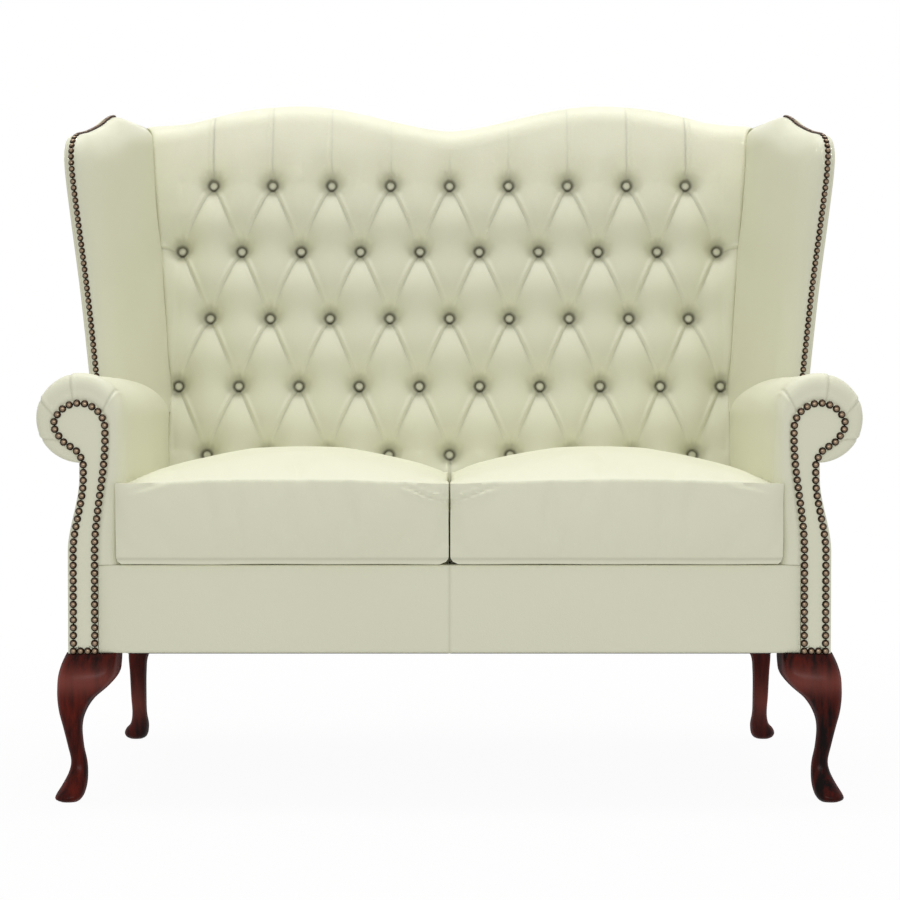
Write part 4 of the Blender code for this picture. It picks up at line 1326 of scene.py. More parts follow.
        piece = Bench.sheet("buttoned_back", self.to_world(x, s, t))
        # The painted shade of the folds, dimples and lower back is stored for the leather finish.
        Bench.mark(piece, "fold", unit(dark))
        Bench.close(piece, fill=True)
        self.dress(piece, Slot.LEATHER, 60.0, ["inside_back"], 0.8)

    def buttons(self) -> None:
        """The covered buttons, set into their dimples."""
        pattern = Bench.ball(24, 12, self.button_radius)
        co = Bench.places(pattern)
        flat = np.hypot(co[:, 0], co[:, 1]) / self.button_radius
        co[:, 2] = np.where(co[:, 2] > 0.0, co[:, 2] * 0.50, co[:, 2] * 0.42)
        co[:, 2] += 0.00022 * np.cos(11.0 * np.arctan2(co[:, 1], co[:, 0])) * smooth((flat - 0.55) / 0.4)
        Bench.move(pattern, co)
        # Painted shade on the button's rim and flank, a little over all of it.
        Bench.mark(pattern, "fold", 0.10 + 0.75 * smooth((flat - 0.50) / 0.42))
        lean = Matrix.Rotation(math.pi / 2 - SIZES.back_rake, 4, "X")
        matrices = []
        for row in range(self.rows + 1):
            count = 9 if row % 2 == 0 else 10
            for i in range(count):
                place = self.to_world((i - (count - 1) / 2) * self.button_pitch,
                                      self.first_row + row * self.row_pitch, self.base + self.button_sink)
                tilt = Matrix.Rotation(self.button_tilt * math.sin(3.1 * i + 1.7 * row), 4, "X")
                swing = Matrix.Rotation(self.button_tilt * math.cos(2.3 * i - 1.1 * row), 4, "Y")
                matrices.append(Matrix.Translation(place) @ lean @ tilt @ swing)
        self.dress(Bench.copies("back_buttons", pattern, matrices), Slot.LEATHER, 60.0, fill=1.0)

    def build(self) -> None:
        """Shape the leather and set its buttons."""
        self.leather()
        self.buttons()


@dataclass
class NailHead:
    """A domed nail, copied along a row."""

    radius: float
    rise: float
    tilt: float = 0.07

    def pattern(self) -> Piece:
        """Model one nail with its crown along Z, its rim at the origin.

        Returns:
            The nail.
        """
        piece = Bench.ball(12, 8, self.radius)
        with Bench.editing(piece):
            bpy.ops.mesh.bisect(plane_co=(0, 0, -0.0001), plane_no=(0, 0, 1), clear_inner=True,
                                use_fill=True)
        co = Bench.places(piece)
        height = unit(co[:, 2] / self.radius)
        co[:, 2] *= self.rise / self.radius
        Bench.move(piece, co)
        # Crown share for the finish: a painted highlight on the top of the dome.
        Bench.mark(piece, "crown", smooth((height - 0.70) / 0.30))
        return piece

    def row(self, name: str, places: Sequence[Vector], outs: Sequence[Vector]) -> Piece:
        """A row of nails.

        Args:
            name: Name of the piece.
            places: Foot of each nail.
            outs: Direction of each crown.

        Returns:
            The joined row.
        """
        matrices = []
        for i, (place, out) in enumerate(zip(places, outs)):
            turn = Vector((0.0, 0.0, 1.0)).rotation_difference(out.normalized()).to_matrix().to_4x4()
            tilt = Matrix.Rotation(self.tilt * math.sin(2.7 * i), 4, "X")
            swing = Matrix.Rotation(self.tilt * math.cos(4.1 * i), 4, "Y")
            matrices.append(Matrix.Translation(place) @ turn @ (tilt @ swing))
        return Bench.copies(name, self.pattern(), matrices)


@dataclass
class Wing(Maker):
    """One wing: padded inside, nailed edge and outside panel."""

    round_in: float = 0.054
    round_deep: float = 0.024
    bulge: float = 0.007
    outer_round: float = 0.0045
    outer_swell: float = 0.0030
    arm_sink: float = 0.004
    even_shade: float = 0.045
    nail_deep: float = 0.0300
    nail_pitch: float = 0.0106

    def fan(self, inner: int, rear_gap: float) -> tuple[Array, Array, Array]:
        """Lines that run from the wing's edge to its root.

        Args:
            inner: Points along the edge.
            rear_gap: Root line ahead of the posts.

        Returns:
            Edge points, directions to the root, both flat, and the distances to it.
        """
        line = SIZES.wing_edge()
        edge = walk(line, np.linspace(0.0, run_length(line)[-1], inner))
        low, high = SIZES.arm_height - SIZES.wing_sunk, SIZES.back_shoulder - SIZES.wing_end
        share = np.linspace(0.0, 1.0, inner)
        corner = 0.56
        climb = np.where(share < corner, 0.93 * share / corner,
                         0.93 + 0.07 * (share - corner) / (1 - corner))
        heights = low + (high - low) * climb
        root = SIZES.wing_flat([(SIZES.post_front(h) - rear_gap, h) for h in heights])
        root[-1] = edge[-1] + (root[-1] - edge[-1]) * 0.5
        span = np.linalg.norm(edge - root, axis=1)
        return edge, (root - edge) / np.maximum(span, 1e-6)[:, None], span

    def lift(self, flat: Array, depth: Array) -> Array:
        """Flat coordinates and depths behind the face turned into places."""
        frame = np.array(SIZES.wing_axes())
        return np.concatenate([flat, -depth[..., None]], axis=-1) @ frame[:3, :3].T + frame[:3, 3]

    def flare(self, flat: Array) -> Array:
        """How far the outside of the wing bends out to reach the outside back.

        Args:
            flat: Flat coordinates.

        Returns:
            The bend at each.
        """
        place = self.lift(flat, np.full(flat.shape[:-1], SIZES.wing_depth + SIZES.cover))
        setback, height = place[..., 1] - SIZES.front_y, place[..., 2]
        near = smooth((setback - SIZES.post_front(height) + 0.040) / 0.050)
        return near * np.maximum(0.0, SIZES.back_half(height) - 0.0032 - place[..., 0])

    def on_arm(self, places: Array) -> Array:
        """Keep places from going far into the arm scroll under the wing.

        Args:
            places: The places.

        Returns:
            The same array, raised where it has to be.
        """
        off = np.clip((places[..., 0] - SIZES.roll_x) / SIZES.roll_radius, -1.0, 1.0)
        floor = SIZES.roll_z + SIZES.roll_radius * np.sqrt(1.0 - off * off) - self.arm_sink
        places[..., 2] = np.maximum(places[..., 2], floor)
        return places

    def to_edge(self, flat: Array) -> Array:
        """Distance of flat points to the edge line.

        Args:
            flat: Flat coordinates.

        Returns:
            The distance of each.
        """
        line = SIZES.wing_edge()
        best = np.full(flat.shape[:-1], 9.0)
        for a, b in zip(line[:-1], line[1:]):
            run = b - a
            share = unit(((flat - a) @ run) / (run @ run))
            near = a + share[..., None] * run
            best = np.minimum(best, np.linalg.norm(flat - near, axis=-1))
        return best

    def inside(self) -> None:
        """The padded inside wing with its rounded front and top."""
        edge, way, span = self.fan(170, 0.010)
        reach = np.minimum(self.round_in, 0.92 * span)
        columns = [reach + (span - reach) * share for share in np.linspace(1.0, 0.0, 34)[:-1]]
        columns += [reach * (1.0 - math.sin(angle)) for angle in quarter(15)]
        inward = np.array(columns).T
        flat = edge[:, None, :] + way[:, None, :] * inward[..., None]
        ahead, up = flat[..., 0], flat[..., 1]
        depth = self.round_deep * rounding(unit(self.to_edge(flat) / self.round_in))
        share = inward / np.maximum(span[:, None], 1e-6)
        swell = unit(4.0 * share * (1.0 - share)) ** 0.8 * smooth(span / 0.12)[:, None]
        depth = depth + SIZES.hollow(ahead, up) - self.bulge * swell - 0.0006 * sway(ahead, up, 0.16, 3.0)
        depth = np.minimum(depth, SIZES.wing_depth - 0.0050 + self.flare(flat))
        last = depth[:, -1]
        tail = [(edge, last + (SIZES.wing_depth + self.flare(edge) - last) * share)
                for share in (0.4, 0.75, 1.0)]
        tuck = edge + way * np.minimum(0.0030, 0.4 * span)[:, None]
        tail.append((tuck, SIZES.wing_depth + 0.0030 + self.flare(tuck)))
        flat = np.concatenate([flat] + [f[:, None, :] for f, d in tail], axis=1)
        depth = np.concatenate([depth] + [d[:, None] for f, d in tail], axis=1)
        places = self.on_arm(self.lift(flat, depth))
        piece = Bench.sheet(self.named("inside_wing_leather"), places)
        # Painted shade, even over the whole inside of the wing.
        Bench.mark(piece, "fold", np.full(places.shape[:2], self.even_shade))
        self.upholster(piece, self.named("inside_wing"), (-1.0, -0.4, 0.1), 60.0, 0.8)

    def outside(self) -> None:
        """The outside panel, turned in at its edge."""
        edge, way, span = self.fan(130, -0.030)
        round_off = self.outer_round
        face = SIZES.wing_depth + SIZES.fit + SIZES.cover
        inward, deep = [np.zeros_like(span)], [np.full_like(span, SIZES.wing_depth + SIZES.fit)]
        for angle in quarter(7):
            inward.append(np.minimum(round_off, 0.5 * span) * (1.0 - math.cos(angle)))
            deep.append(np.full_like(span, face - round_off + round_off * math.sin(angle)))
        first = inward[-1]
        for share in np.linspace(0.0, 1.0, 24)[1:]:
            inward.append(first + (span - first) * share)
            deep.append(face + self.outer_swell * (4 * share * (1 - share)) * smooth(span / 0.12))
        flat = edge[:, None, :] + way[:, None, :] * np.array(inward).T[..., None]
        places = self.on_arm(self.lift(flat, np.array(deep).T + self.flare(flat)))
        piece = Bench.sheet(self.named("outside_wing_leather"), places)
        self.upholster(piece, self.named("outside_wing"), (1.0, 0.2, -0.1))

    def nails(self) -> None:
        """The close nail row along the front and over the top."""
        line = SIZES.wing_edge()
        frame = SIZES.wing_axes()
        along = run_length(line)
        lowest = SIZES.wing_flat([(SIZES.wing_front, SIZES.arm_height + 0.006)])[0][1]
        crest = SIZES.wing_flat([(SIZES.wing_front + 0.82 * SIZES.wing_crest, SIZES.wing_top)])[0][0]
        turn = 60
        start = float(np.interp(lowest, line[:turn, 1], along[:turn]))
        last = float(np.interp(-crest, -line[turn:, 0], along[turn:]))
        marks = start + self.nail_pitch * np.arange(int((last - start) / self.nail_pitch))
        places, outs = [], []
        for here, ahead in zip(walk(line, marks), walk(line, marks + 0.002)):
            run = Vector((*(ahead - here), 0.0)).normalized()
            places.append(frame @ Vector((*here, -self.nail_deep)))
            outs.append(frame.to_3x3() @ Vector((run.y, -run.x, 0.0)))
        piece = NailHead(0.0054, 0.0038).row(self.named("wing_nail_row"), places, outs)
        self.dress(piece, Slot.NAIL, 50.0, [self.named("wing_nails")])

    def build(self) -> None:
        """Build the wing's pieces."""
        self.inside()
        self.outside()
        self.nails()


@dataclass
class Arm(Maker):
    """One arm: padded scroll with a gathered front, outside panel, facing and nails."""

    front: float = 0.0036
    round_in: float = 0.0260
    round_deep: float = 0.0320
    swell: float = 0.0030
    flare: float = 0.0036
    pleats: tuple[float, ...] = (141.0, 76.0, 24.0, -28.0)
    pleat_depth: float = 0.0013
    pleat_ridge: float = 0.0008
    pleat_shade: float = 0.20
    rear_round: float = 0.010
    panel_round: float = 0.0060
    panel_corner: float = 0.004
    panel_swell: float = 0.0026
    lap: float = 0.0012
    turn_in: float = 0.0045
    nail_pitch: float = 0.0121

    def facing_line(self, grow: float) -> Array:
        """The nail row moved outwards, from its inner foot round the scroll to its outer foot."""
        line = SIZES.nail_line()[::-1]
        return line + grow * left_of(line)

    def scroll_path(self) -> tuple[Array, Array]:
        """Outline of the padded arm from the deck up the inside and round the scroll.

        Returns:
            Its points and the turn of each on the scroll in degrees, 180 below it.
        """
        heights = np.linspace(SIZES.deck_top + SIZES.fit, SIZES.roll_z, 58)[:-1]
        share = (heights - heights[0]) / (SIZES.roll_z - heights[0])
        inside = np.stack([SIZES.seat_half - self.swell * np.sin(math.pi * share) ** 2, heights], axis=1)
        turns = np.linspace(180.0, -86.0, 172)
        angles = np.radians(turns)
        scroll = np.stack([SIZES.roll_x + SIZES.roll_radius * np.cos(angles),
                           SIZES.roll_z + SIZES.roll_radius * np.sin(angles)], axis=1)
        return np.concatenate([inside, scroll]), np.concatenate([np.full(len(inside), 180.0), turns])

    def gathered_line(self, path: Array, turns: Array) -> Array:
        """Points of the facing's edge that the points of the arm's outline are drawn in to.

        Args:
            path: Points of the outline.
            turns: Degrees round the scroll at each.

        Returns:
            One point of the edge for each.
        """
        line = self.facing_line(SIZES.nail_edge - self.lap)
        along = run_length(line)
        top = int(np.argmax(line[:, 1]))
        deck, level = np.interp([SIZES.deck_top, SIZES.roll_z - SIZES.head_drop], line[:top, 1], along[:top])
        outer = int(np.argmax(line[:, 0] * (line[:, 1] > SIZES.neck)))
        neck = along[outer] + np.interp(-SIZES.neck, -line[outer:, 1], along[outer:] - along[outer])
        own = run_length(path)
        marks = [0.0] + [own[np.argmin(np.abs(turns - turn))] for turn in (179.0, 90.0, 8.0, -86.0)]
        return walk(line, np.interp(own, marks, [deck, level, along[top], along[outer], neck]))

    def pleat_relief(self, turns: Array) -> Array:
        """Relief of the gathers, by place round the scroll.

        Args:
            turns: Degrees round the scroll.

        Returns:
            The relief at each.
        """
        relief = np.zeros_like(turns)
        for middle in self.pleats:
            off = np.radians(turns - middle) * SIZES.roll_radius
            relief += -self.pleat_depth * bell(off, 0.0022) + self.pleat_ridge * bell(off - 0.0050, 0.0036)
        return np.where(turns >= 180.0, 0.0, relief)

    def pad(self) -> None:
        """The padded inside arm and scroll."""
        path, turns = self.scroll_path()
        target = self.gathered_line(path, turns)
        relief = self.pleat_relief(turns)
        out = left_of(path)
        span = np.linalg.norm(target - path, axis=1)
        way = (target - path) / span[:, None]
        rolled = turns < 180.0
        beside = np.where(rolled, smooth((101.0 - turns) / 5.0), 0.0)
        behind = beside * (SIZES.post_depth + 0.0016)
        deep = self.round_deep * (0.58 + 0.42 * smooth((turns - 100.0) / 80.0))
        start = self.front + deep
        flared = self.flare * np.where(rolled, smooth((180.0 - turns) / 50.0), 0.0)
        rows, dark = [], []

        def add(points: Array, setback: Amount, share: float) -> None:
            """Keep one row of points at a setback, with a share of the painted shade in the gathers."""
            rows.append(SIZES.place(points[:, 0], setback, points[:, 1]))
            dark.append(unit(-relief / self.pleat_depth) * self.pleat_shade * share)

        middle = np.stack([np.where(rolled, SIZES.roll_x, path[:, 0] + 0.024),
                           np.where(rolled, SIZES.roll_z, path[:, 1])], axis=1)
        corner = np.array([SIZES.post_middle + SIZES.post_width / 2 + 0.0012,
                           SIZES.roll_z - 0.95 * SIZES.roll_radius])
        middle += (corner - middle) * beside[:, None]
        for share in (1.0, 0.8, 0.5, 0.3):
            inner = path + (middle - path) * share
            add(inner, SIZES.post_front(inner[:, 1]) + behind - 0.0010 - 0.0015 * share, 0.0)
        for angle in quarter(7)[1:]:
            inner = path + (middle - path) * 0.16 * (1.0 - math.sin(angle))
            ease = self.rear_round * (1.0 - math.cos(angle))
            add(inner, SIZES.post_front(inner[:, 1]) + behind - 0.0010 - ease, 0.0)
        rear = SIZES.post_front(path[:, 1]) - 0.0030 + behind
        for share in np.linspace(0.0, 1.0, 64)[1:]:
            setback = (rear - 0.012) + (start - rear + 0.012) * share
            fade = float(smooth((share - 0.93) / 0.07))
            wave = 0.0007 * sway(setback, path[:, 1] + turns * 0.001, 0.21, 1.0 + self.side.value)
            wave = wave + flared * bell(setback - start, 0.06)
            add(path + out * (relief * fade + wave)[:, None], setback, fade)
        reach = np.minimum(self.round_in, 0.58 * span)
        for angle in quarter(13)[1:]:
            inner = path + way * (reach * (1.0 - math.cos(angle)))[:, None]
            inner = inner + out * ((relief + flared) * math.cos(angle))[:, None]
            add(inner, start - deep * math.sin(angle) - relief * math.sin(angle), 1.0)
        for share in np.linspace(0.0, 1.0, 15)[1:]:
            inner = path + way * (reach + (span - reach) * share)[:, None]
            arch = 0.0014 * math.sin(math.pi * share)
            add(inner, self.front - arch - relief * (1.0 - 0.4 * share), 1.0)
        add(path + way * (span + 0.0006)[:, None], self.front + self.turn_in, 0.0)
        piece = Bench.sheet(self.named("arm_leather"), np.array(rows))
        # Painted shade in the gathers, stored for the leather finish.
        Bench.mark(piece, "fold", np.array(dark))
        Bench.close(piece)
        self.upholster(piece, self.named("arm_pad"), (-1.0, -0.6, 0.6), 60.0, 0.85)

    def panel(self) -> None:
        """The outside arm, turned round the front to the facing."""
        top = SIZES.roll_z - SIZES.roll_radius - 2 * SIZES.fit
        heights = np.linspace(SIZES.frame_bottom, top, 96)
        outer = SIZES.outer_side(heights) + 0.002 * (1.0 - SIZES.sweep(heights))
        line = SIZES.nail_line()
        edge = int(np.argmax(line[:, 1] > SIZES.sweep_high + 0.02))
        inner = np.interp(heights, line[:edge, 1], line[:edge, 0]) + SIZES.nail_edge - self.lap
        span = outer - inner
        reach = np.minimum(0.0045, 0.6 * span)
        tall = np.sin(math.pi * (heights - heights[0]) / (heights[-1] - heights[0]))
        start = self.front + self.panel_round
        rear = SIZES.frame_depth + SIZES.post_depth
        round_off = self.panel_corner
        lines = [(outer - SIZES.cover, rear)]
        for angle in quarter(6):
            lines.append((outer - round_off * (1.0 - math.sin(angle)),
                          rear - round_off * (1.0 - math.cos(angle))))
        for share in np.linspace(0.0, 1.0, 56)[1:]:
            setback = rear - round_off + (start - rear + round_off) * share
            swell = self.panel_swell * math.sin(math.pi * share) * tall
            wave = 0.0005 * sway(np.full_like(heights, setback), heights, 0.23, 4.0 + self.side.value)
            lines.append((outer + swell + wave * tall, setback))
        for angle in quarter(9)[1:]:
            lines.append((outer - reach * (1.0 - math.cos(angle)),
                          start - self.panel_round * math.sin(angle)))
        for share in (0.5, 1.0):
            lines.append((outer - reach - (span - reach) * share, self.front))
        lines.append((inner - 0.0004, self.front + self.turn_in))
        rows = np.array([SIZES.place(x, setback, heights) for x, setback in lines])
        piece = Bench.sheet(self.named("outside_arm_leather"), rows)
        self.upholster(piece, self.named("outside_arm"), (1.0, 0.0, 0.0))

    def facing(self) -> None:
        """The keyhole panel on the front of the arm post."""
        rings = []
        for inset, setback in ((0.0, SIZES.facing_thickness), (0.0, 0.0018), (0.0010, 0.0008),
                               (0.0030, 0.0003), (0.0075, 0.0), (0.0130, -0.0003)):
            line = self.facing_line(SIZES.nail_edge - inset)
            outline = walk(line, np.linspace(0.0, run_length(line)[-1], 150))
            outline[[0, -1], 1] = SIZES.frame_bottom + inset
            outline = np.concatenate([outline, np.linspace(outline[-1], outline[0], 9)[1:]])
            rings.append(SIZES.place(outline[:, 0], setback, outline[:, 1]))
        piece = Bench.sheet(self.named("facing_leather"), np.array(rings))
        Bench.close(piece, fill=True)
        self.dress(piece, Slot.LEATHER, 50.0, [self.named("arm_facing")])

    def nails(self) -> None:
        """The nail row round the facing and along its foot."""
        line = SIZES.nail_line()
        length = run_length(line)[-1]
        spots = list(walk(line, np.linspace(0.0, length, int(round(length / self.nail_pitch)) + 1)))
        spots += list(np.linspace(line[-1], line[0], 4)[1:-1])
        places = [Vector((x, SIZES.front_y - 0.0004, z)) for x, z in spots]
        outs = [Vector((0.0, -1.0, 0.0))] * len(places)
        piece = NailHead(0.0060, 0.0041).row(self.named("facing_nail_row"), places, outs)
        self.dress(piece, Slot.NAIL, 50.0, [self.named("facing_nails")])

    def build(self) -> None:
        """Build the arm's pieces."""
        self.pad()
        self.panel()
        self.facing()
        self.nails()


@dataclass
class OutsideBack(Maker):
    """The plain leather back panel with its returns round the posts."""

    corner: float = 0.0080
    swell: float = 0.0045
    under_crest: float = 0.0150
    ease: float = 0.030
    widest: float = 0.53

    def build(self) -> None:
        """Shape the panel."""
        gap = SIZES.post_depth + SIZES.fit + SIZES.cover
        kink = SIZES.post_kink - gap * (1.0 / SIZES.upright - 1.0) / SIZES.lean
        turns = quarter(7)
        low = SIZES.frame_bottom
        rows = []
        for v in np.linspace(0.0, 1.0, 110):
            half = float(SIZES.back_half(low + (SIZES.back_shoulder - low) * v))
            edge = [-half, -half] + [-half + self.corner * (1 - math.cos(a)) for a in turns]
            fore = [SIZES.post_depth * 0.86, 0.5 * SIZES.post_depth]
            fore += [self.corner * (1 - math.sin(a)) for a in turns]
            flat = np.linspace(-half + self.corner, half - self.corner, 92)[1:-1]
            x = np.array(edge + list(flat) + [-a for a in edge[::-1]])
            z = low + (SIZES.camel(np.clip(x, -self.widest, self.widest)) - self.under_crest - low) * v
            bulge = self.swell * unit(1.0 - (x / half) ** 2) ** 0.6 * math.sin(math.pi * v) ** 0.6
            bulge = bulge + 0.0006 * sway(x, z, 0.33, 7.0)
            fore = np.array(fore + [0.0] * len(flat) + fore[::-1])
            rows.append(SIZES.place(x, SIZES.frame_depth + gap + self.bend(z - kink) + bulge - fore, z))
        rows.append(rows[-1] + np.array([0.0, -0.008, 0.0010]))
        piece = Bench.sheet("outside_back_leather", np.array(rows))
        self.upholster(piece, "outside_back", (0.0, 1.0, 0.0))

    def bend(self, off: Array) -> Array:
        """Run of the panel behind its foot by height over the kink, eased there."""
        eased = (off + self.ease) ** 2 / (4 * self.ease)
        return SIZES.lean * np.where(off < -self.ease, 0.0, np.where(off > self.ease, off, eased))


@dataclass
class FrontBorder(Maker):
    """The leather on the front rail, seamed in the middle and turned over the deck."""

    half: float = 0.5418
    front: float = 0.0046
    foot: float = 0.004
    corner: float = 0.0025
    deck_run: float = 0.100
    swell: float = 0.0016
    seam_depth: float = 0.0013
    seam_shade: float = 0.16

    def build(self) -> None:
        """Shape the border."""
        fine = np.concatenate([np.linspace(0.0, 0.02, 17), np.linspace(0.02, self.half, 90)[1:]])
        x = np.concatenate([-fine[::-1], fine[1:]])
        low, high = SIZES.frame_bottom, SIZES.deck_top
        front, foot, corner = self.front, self.foot, self.corner
        profile = [(front + 0.012, low + 0.0002), (front + foot, low)]
        profile += [(front + foot * (1 - math.sin(a)), low + foot * (1 - math.cos(a)))
                    for a in quarter(5)[1:]]
        profile += [(front, h) for h in np.linspace(low + foot, high - corner, 40)[1:]]
        profile += [(front + corner * (1 - math.cos(a)), high - corner * (1 - math.sin(a)))
                    for a in quarter(8)[1:]]
        profile += [(front + d, high) for d in np.linspace(corner, self.deck_run, 9)[1:]]
        seam = bell(x, 0.0022)
        pull = 0.0006 * np.exp(-(np.abs(x) / 0.012))
        rows = []
        for setback, z in profile:
            tall = math.sin(math.pi * min(1.0, max(0.0, (z - low) / (high - low)))) ** 0.7
            wave = 0.0006 * sway(x, np.full_like(x, z), 0.27, 6.0)
            swell = tall * (self.swell * (1.0 - (x / self.half) ** 4) + wave) - self.seam_depth * seam - pull
            upright = setback < front + corner
            rows.append(SIZES.place(x, setback - (swell if upright else 0.0),
                                    z - (0.0 if upright else 0.0008 * seam)))
        piece = Bench.sheet("front_border_leather", np.array(rows))
        # Painted shade along the middle seam.
        Bench.mark(piece, "fold", np.array([self.seam_shade * bell(x, 0.0014)] * len(rows)))
        self.upholster(piece, "front_border", (0.0, -1.0, 0.3))


@dataclass
class SeatCushion(Maker):
    """One loose seat cushion with its seams and rear zip."""

    cell: float = 0.0085
    tight: float = 0.005
    first_crown: float = 0.031
    edge_bow: float = 0.006
    pressure: float = 3.2
    frames: int = 20
    cap: float = 0.013
    seam_hold: float = 0.55
    seam_height: float = 0.0095
    ear: float = 0.0125
    round_low: float = 0.0130
    inner_reach: float = 0.0012
    folds: tuple[tuple[float, float, float, float], ...] = (
        (0.000, 0.085, 0.024, 0.0030), (0.010, 0.060, 0.012, 0.0016), (0.435, 0.060, 0.014, 0.0015))
    tooth: Triple = (0.0015, 0.0011, 0.0030)
    tooth_pitch: float = 0.0042
    tooth_shift: float = 0.0009
    slider: Triple = (0.011, 0.0034, 0.0080)
    pull_tab: float = 0.022

    @property
    def body(self) -> str:
        """Body that the cushion rides on."""
        return self.named("cushion")

    def corners(self) -> tuple[Array, Array]:
        """Lowest and highest corner of the cushion's space, without its crown."""
        low = SIZES.place(SIZES.cushion_middle_gap / 2, -SIZES.cushion_overhang, SIZES.cushion_bottom)
        return low, np.array([SIZES.seat_half - SIZES.cushion_side_gap,
                              SIZES.front_y + SIZES.frame_depth - SIZES.tuck_room,
                              SIZES.cushion_bottom + SIZES.cushion_edge])

    def block(self) -> Piece:
        """A block divided into even cells, a little smaller than the cushion.

        Returns:
            The divided block.
        """
        low, high = self.corners()
        low = low + np.array([0.4 * self.tight, 0.4 * self.tight, 0.0008])
        high = high - np.array([0.4 * self.tight, self.tight, 0.003])
        piece = Bench.cube(self.named("seat_cushion"), (low + high) / 2, high - low)
        for axis in range(3):
            co = Bench.places(piece)
            ends = np.array([edge.vertices[:] for edge in piece.data.edges])
            run = np.abs(co[ends[:, 1]] - co[ends[:, 0]])
            with Bench.chosen(piece, "EDGE", run[:, axis] > 0.9 * run.max(axis=1)):
                bpy.ops.mesh.subdivide(number_cuts=int(round((high[axis] - low[axis]) / self.cell)) - 1)
        return piece

    def crown(self, piece: Piece) -> Array:
        """Raise the top to its first crown and bow the walls.

        Args:
            piece: The divided block.

        Returns:
            Each vertex's place in the plain block, from -1 to 1 on each axis.
        """
        co = Bench.places(piece)
        low, high = co.min(axis=0), co.max(axis=0)
        share = 2.0 * (co - low) / (high - low) - 1.0
        soft = (1.0 - np.abs(share[:, 0]) ** 2.6) * (1.0 - np.abs(share[:, 1]) ** 4)
        bow = self.edge_bow * (1.0 - share[:, 0] ** 2)
        co[:, 2] += smooth((share[:, 2] + 0.2) / 1.2) * (self.first_crown * soft + bow)
        Bench.move(piece, co)
        self.sharpen(piece, share)
        return share

    def sharpen(self, piece: Piece, share: Array) -> None:
        """Keep the sewn edges crisp when the cover is divided again.

        Args:
            piece: The divided block.
            share: Each vertex's place in the block, from -1 to 1 on each axis.
        """
        edge_of = np.array([edge.vertices[:] for edge in piece.data.edges])
        both = (np.abs(share[edge_of]) > 0.999).all(axis=1)
        same = np.abs(share[edge_of[:, 0]] - share[edge_of[:, 1]]) < 1e-6
        sides = (both & same).sum(axis=1) >= 2
        top = sides & (share[edge_of, 2] > 0.999).all(axis=1)
        for choice, amount in ((top, 0.9), (sides & ~top, 0.5)):
            with Bench.chosen(piece, "EDGE", choice):
                bpy.ops.transform.edge_crease(value=amount)

    def simulate(self, piece: Piece, share: Array) -> None:
        """Blow the cover up with a cloth simulation, its seams and base held.

        Args:
            piece: The crowned block.
            share: Each vertex's place in the plain block.
        """
        before = Bench.places(piece)
        on_edge = (np.abs(share) > 0.999).sum(axis=1) >= 2
        group = piece.vertex_groups.new(name="held")
        for held, weight in ((on_edge, self.seam_hold), (share[:, 2] < -0.999, 1.0)):
            group.add([int(i) for i in np.nonzero(held)[0]], weight, "REPLACE")
        Bench.pick(piece)
        cloth = piece.modifiers.new("cover", "CLOTH")
        wanted = {"quality": 6, "mass": 0.5, "tension_stiffness": 22.0, "compression_stiffness": 14.0,
                  "shear_stiffness": 9.0, "bending_stiffness": 0.7, "vertex_group_mass": "held",
                  "pin_stiffness": 1.2, "use_pressure": True, "uniform_pressure_force": self.pressure,
                  "shrink_min": -0.012}
        for key, value in wanted.items():
            setattr(cloth.settings, key, value)
        cloth.settings.effector_weights.gravity = 0.0
        cloth.collision_settings.use_collision = False
        cloth.point_cache.frame_start, cloth.point_cache.frame_end = 1, self.frames
        scene = bpy.context.scene
        for frame in range(1, self.frames + 1):
            scene.frame_set(frame)
        bpy.ops.object.modifier_apply(modifier=cloth.name)
        scene.frame_set(1)
        moved = Bench.places(piece) - before
        length = np.linalg.norm(moved, axis=1)
        scale = np.where(length > self.cap, self.cap / np.maximum(length, 1e-9), 1.0)
        Bench.move(piece, before + moved * scale[:, None])
        piece.vertex_groups.clear()

    def soften(self, piece: Piece) -> None:
        """Divide the cover once more and press its seams and folds in.

        Args:
            piece: The blown-up cover.
        """
        Bench.apply(piece, "SUBSURF", levels=1, render_levels=1)
        low, high = self.corners()
        co = Bench.places(piece)
        normal = Bench.normals(piece)
        seam = bell(co[:, 2] - low[2] - self.seam_height, 0.0016) * (np.abs(normal[:, 2]) < 0.6)
        push = self.corner_folds(co, normal, high) - 0.0007 * seam
        push += 0.0007 * sway(co[:, 0] + co[:, 1], co[:, 2] * 2.0, 0.19, 3.0 + self.side.value)
        co = co + normal * push[:, None]
        setback = co[:, 1] - SIZES.front_y
        ahead = unit((0.032 - setback) / 0.032)
        outer = smooth((co[:, 0] - high[0] + 0.08) / 0.08)
        inner = smooth((low[0] + 0.04 - co[:, 0]) / 0.04)
        up = unit((co[:, 2] - low[2]) / self.round_low)
        tuck = self.round_low * rounding(up) * unit(ahead * 2.0)
        forward = smooth((0.16 - setback) / 0.10)
        co[:, 0] += outer * (self.ear * ahead ** 2 - tuck) + inner * (1.6 * tuck - 0.0034 * forward)
        co[:, 0] = np.clip(co[:, 0], low[0] - self.inner_reach * forward, high[0] + self.ear * ahead ** 2)
        co[:, 1] = np.clip(co[:, 1], low[1] - 0.009, high[1])
        co[:, 2] = np.maximum(co[:, 2], low[2])
        Bench.move(piece, co)
        # Painted shade along the pressed-in seam.
        Bench.mark(piece, "fold", 0.22 * seam)

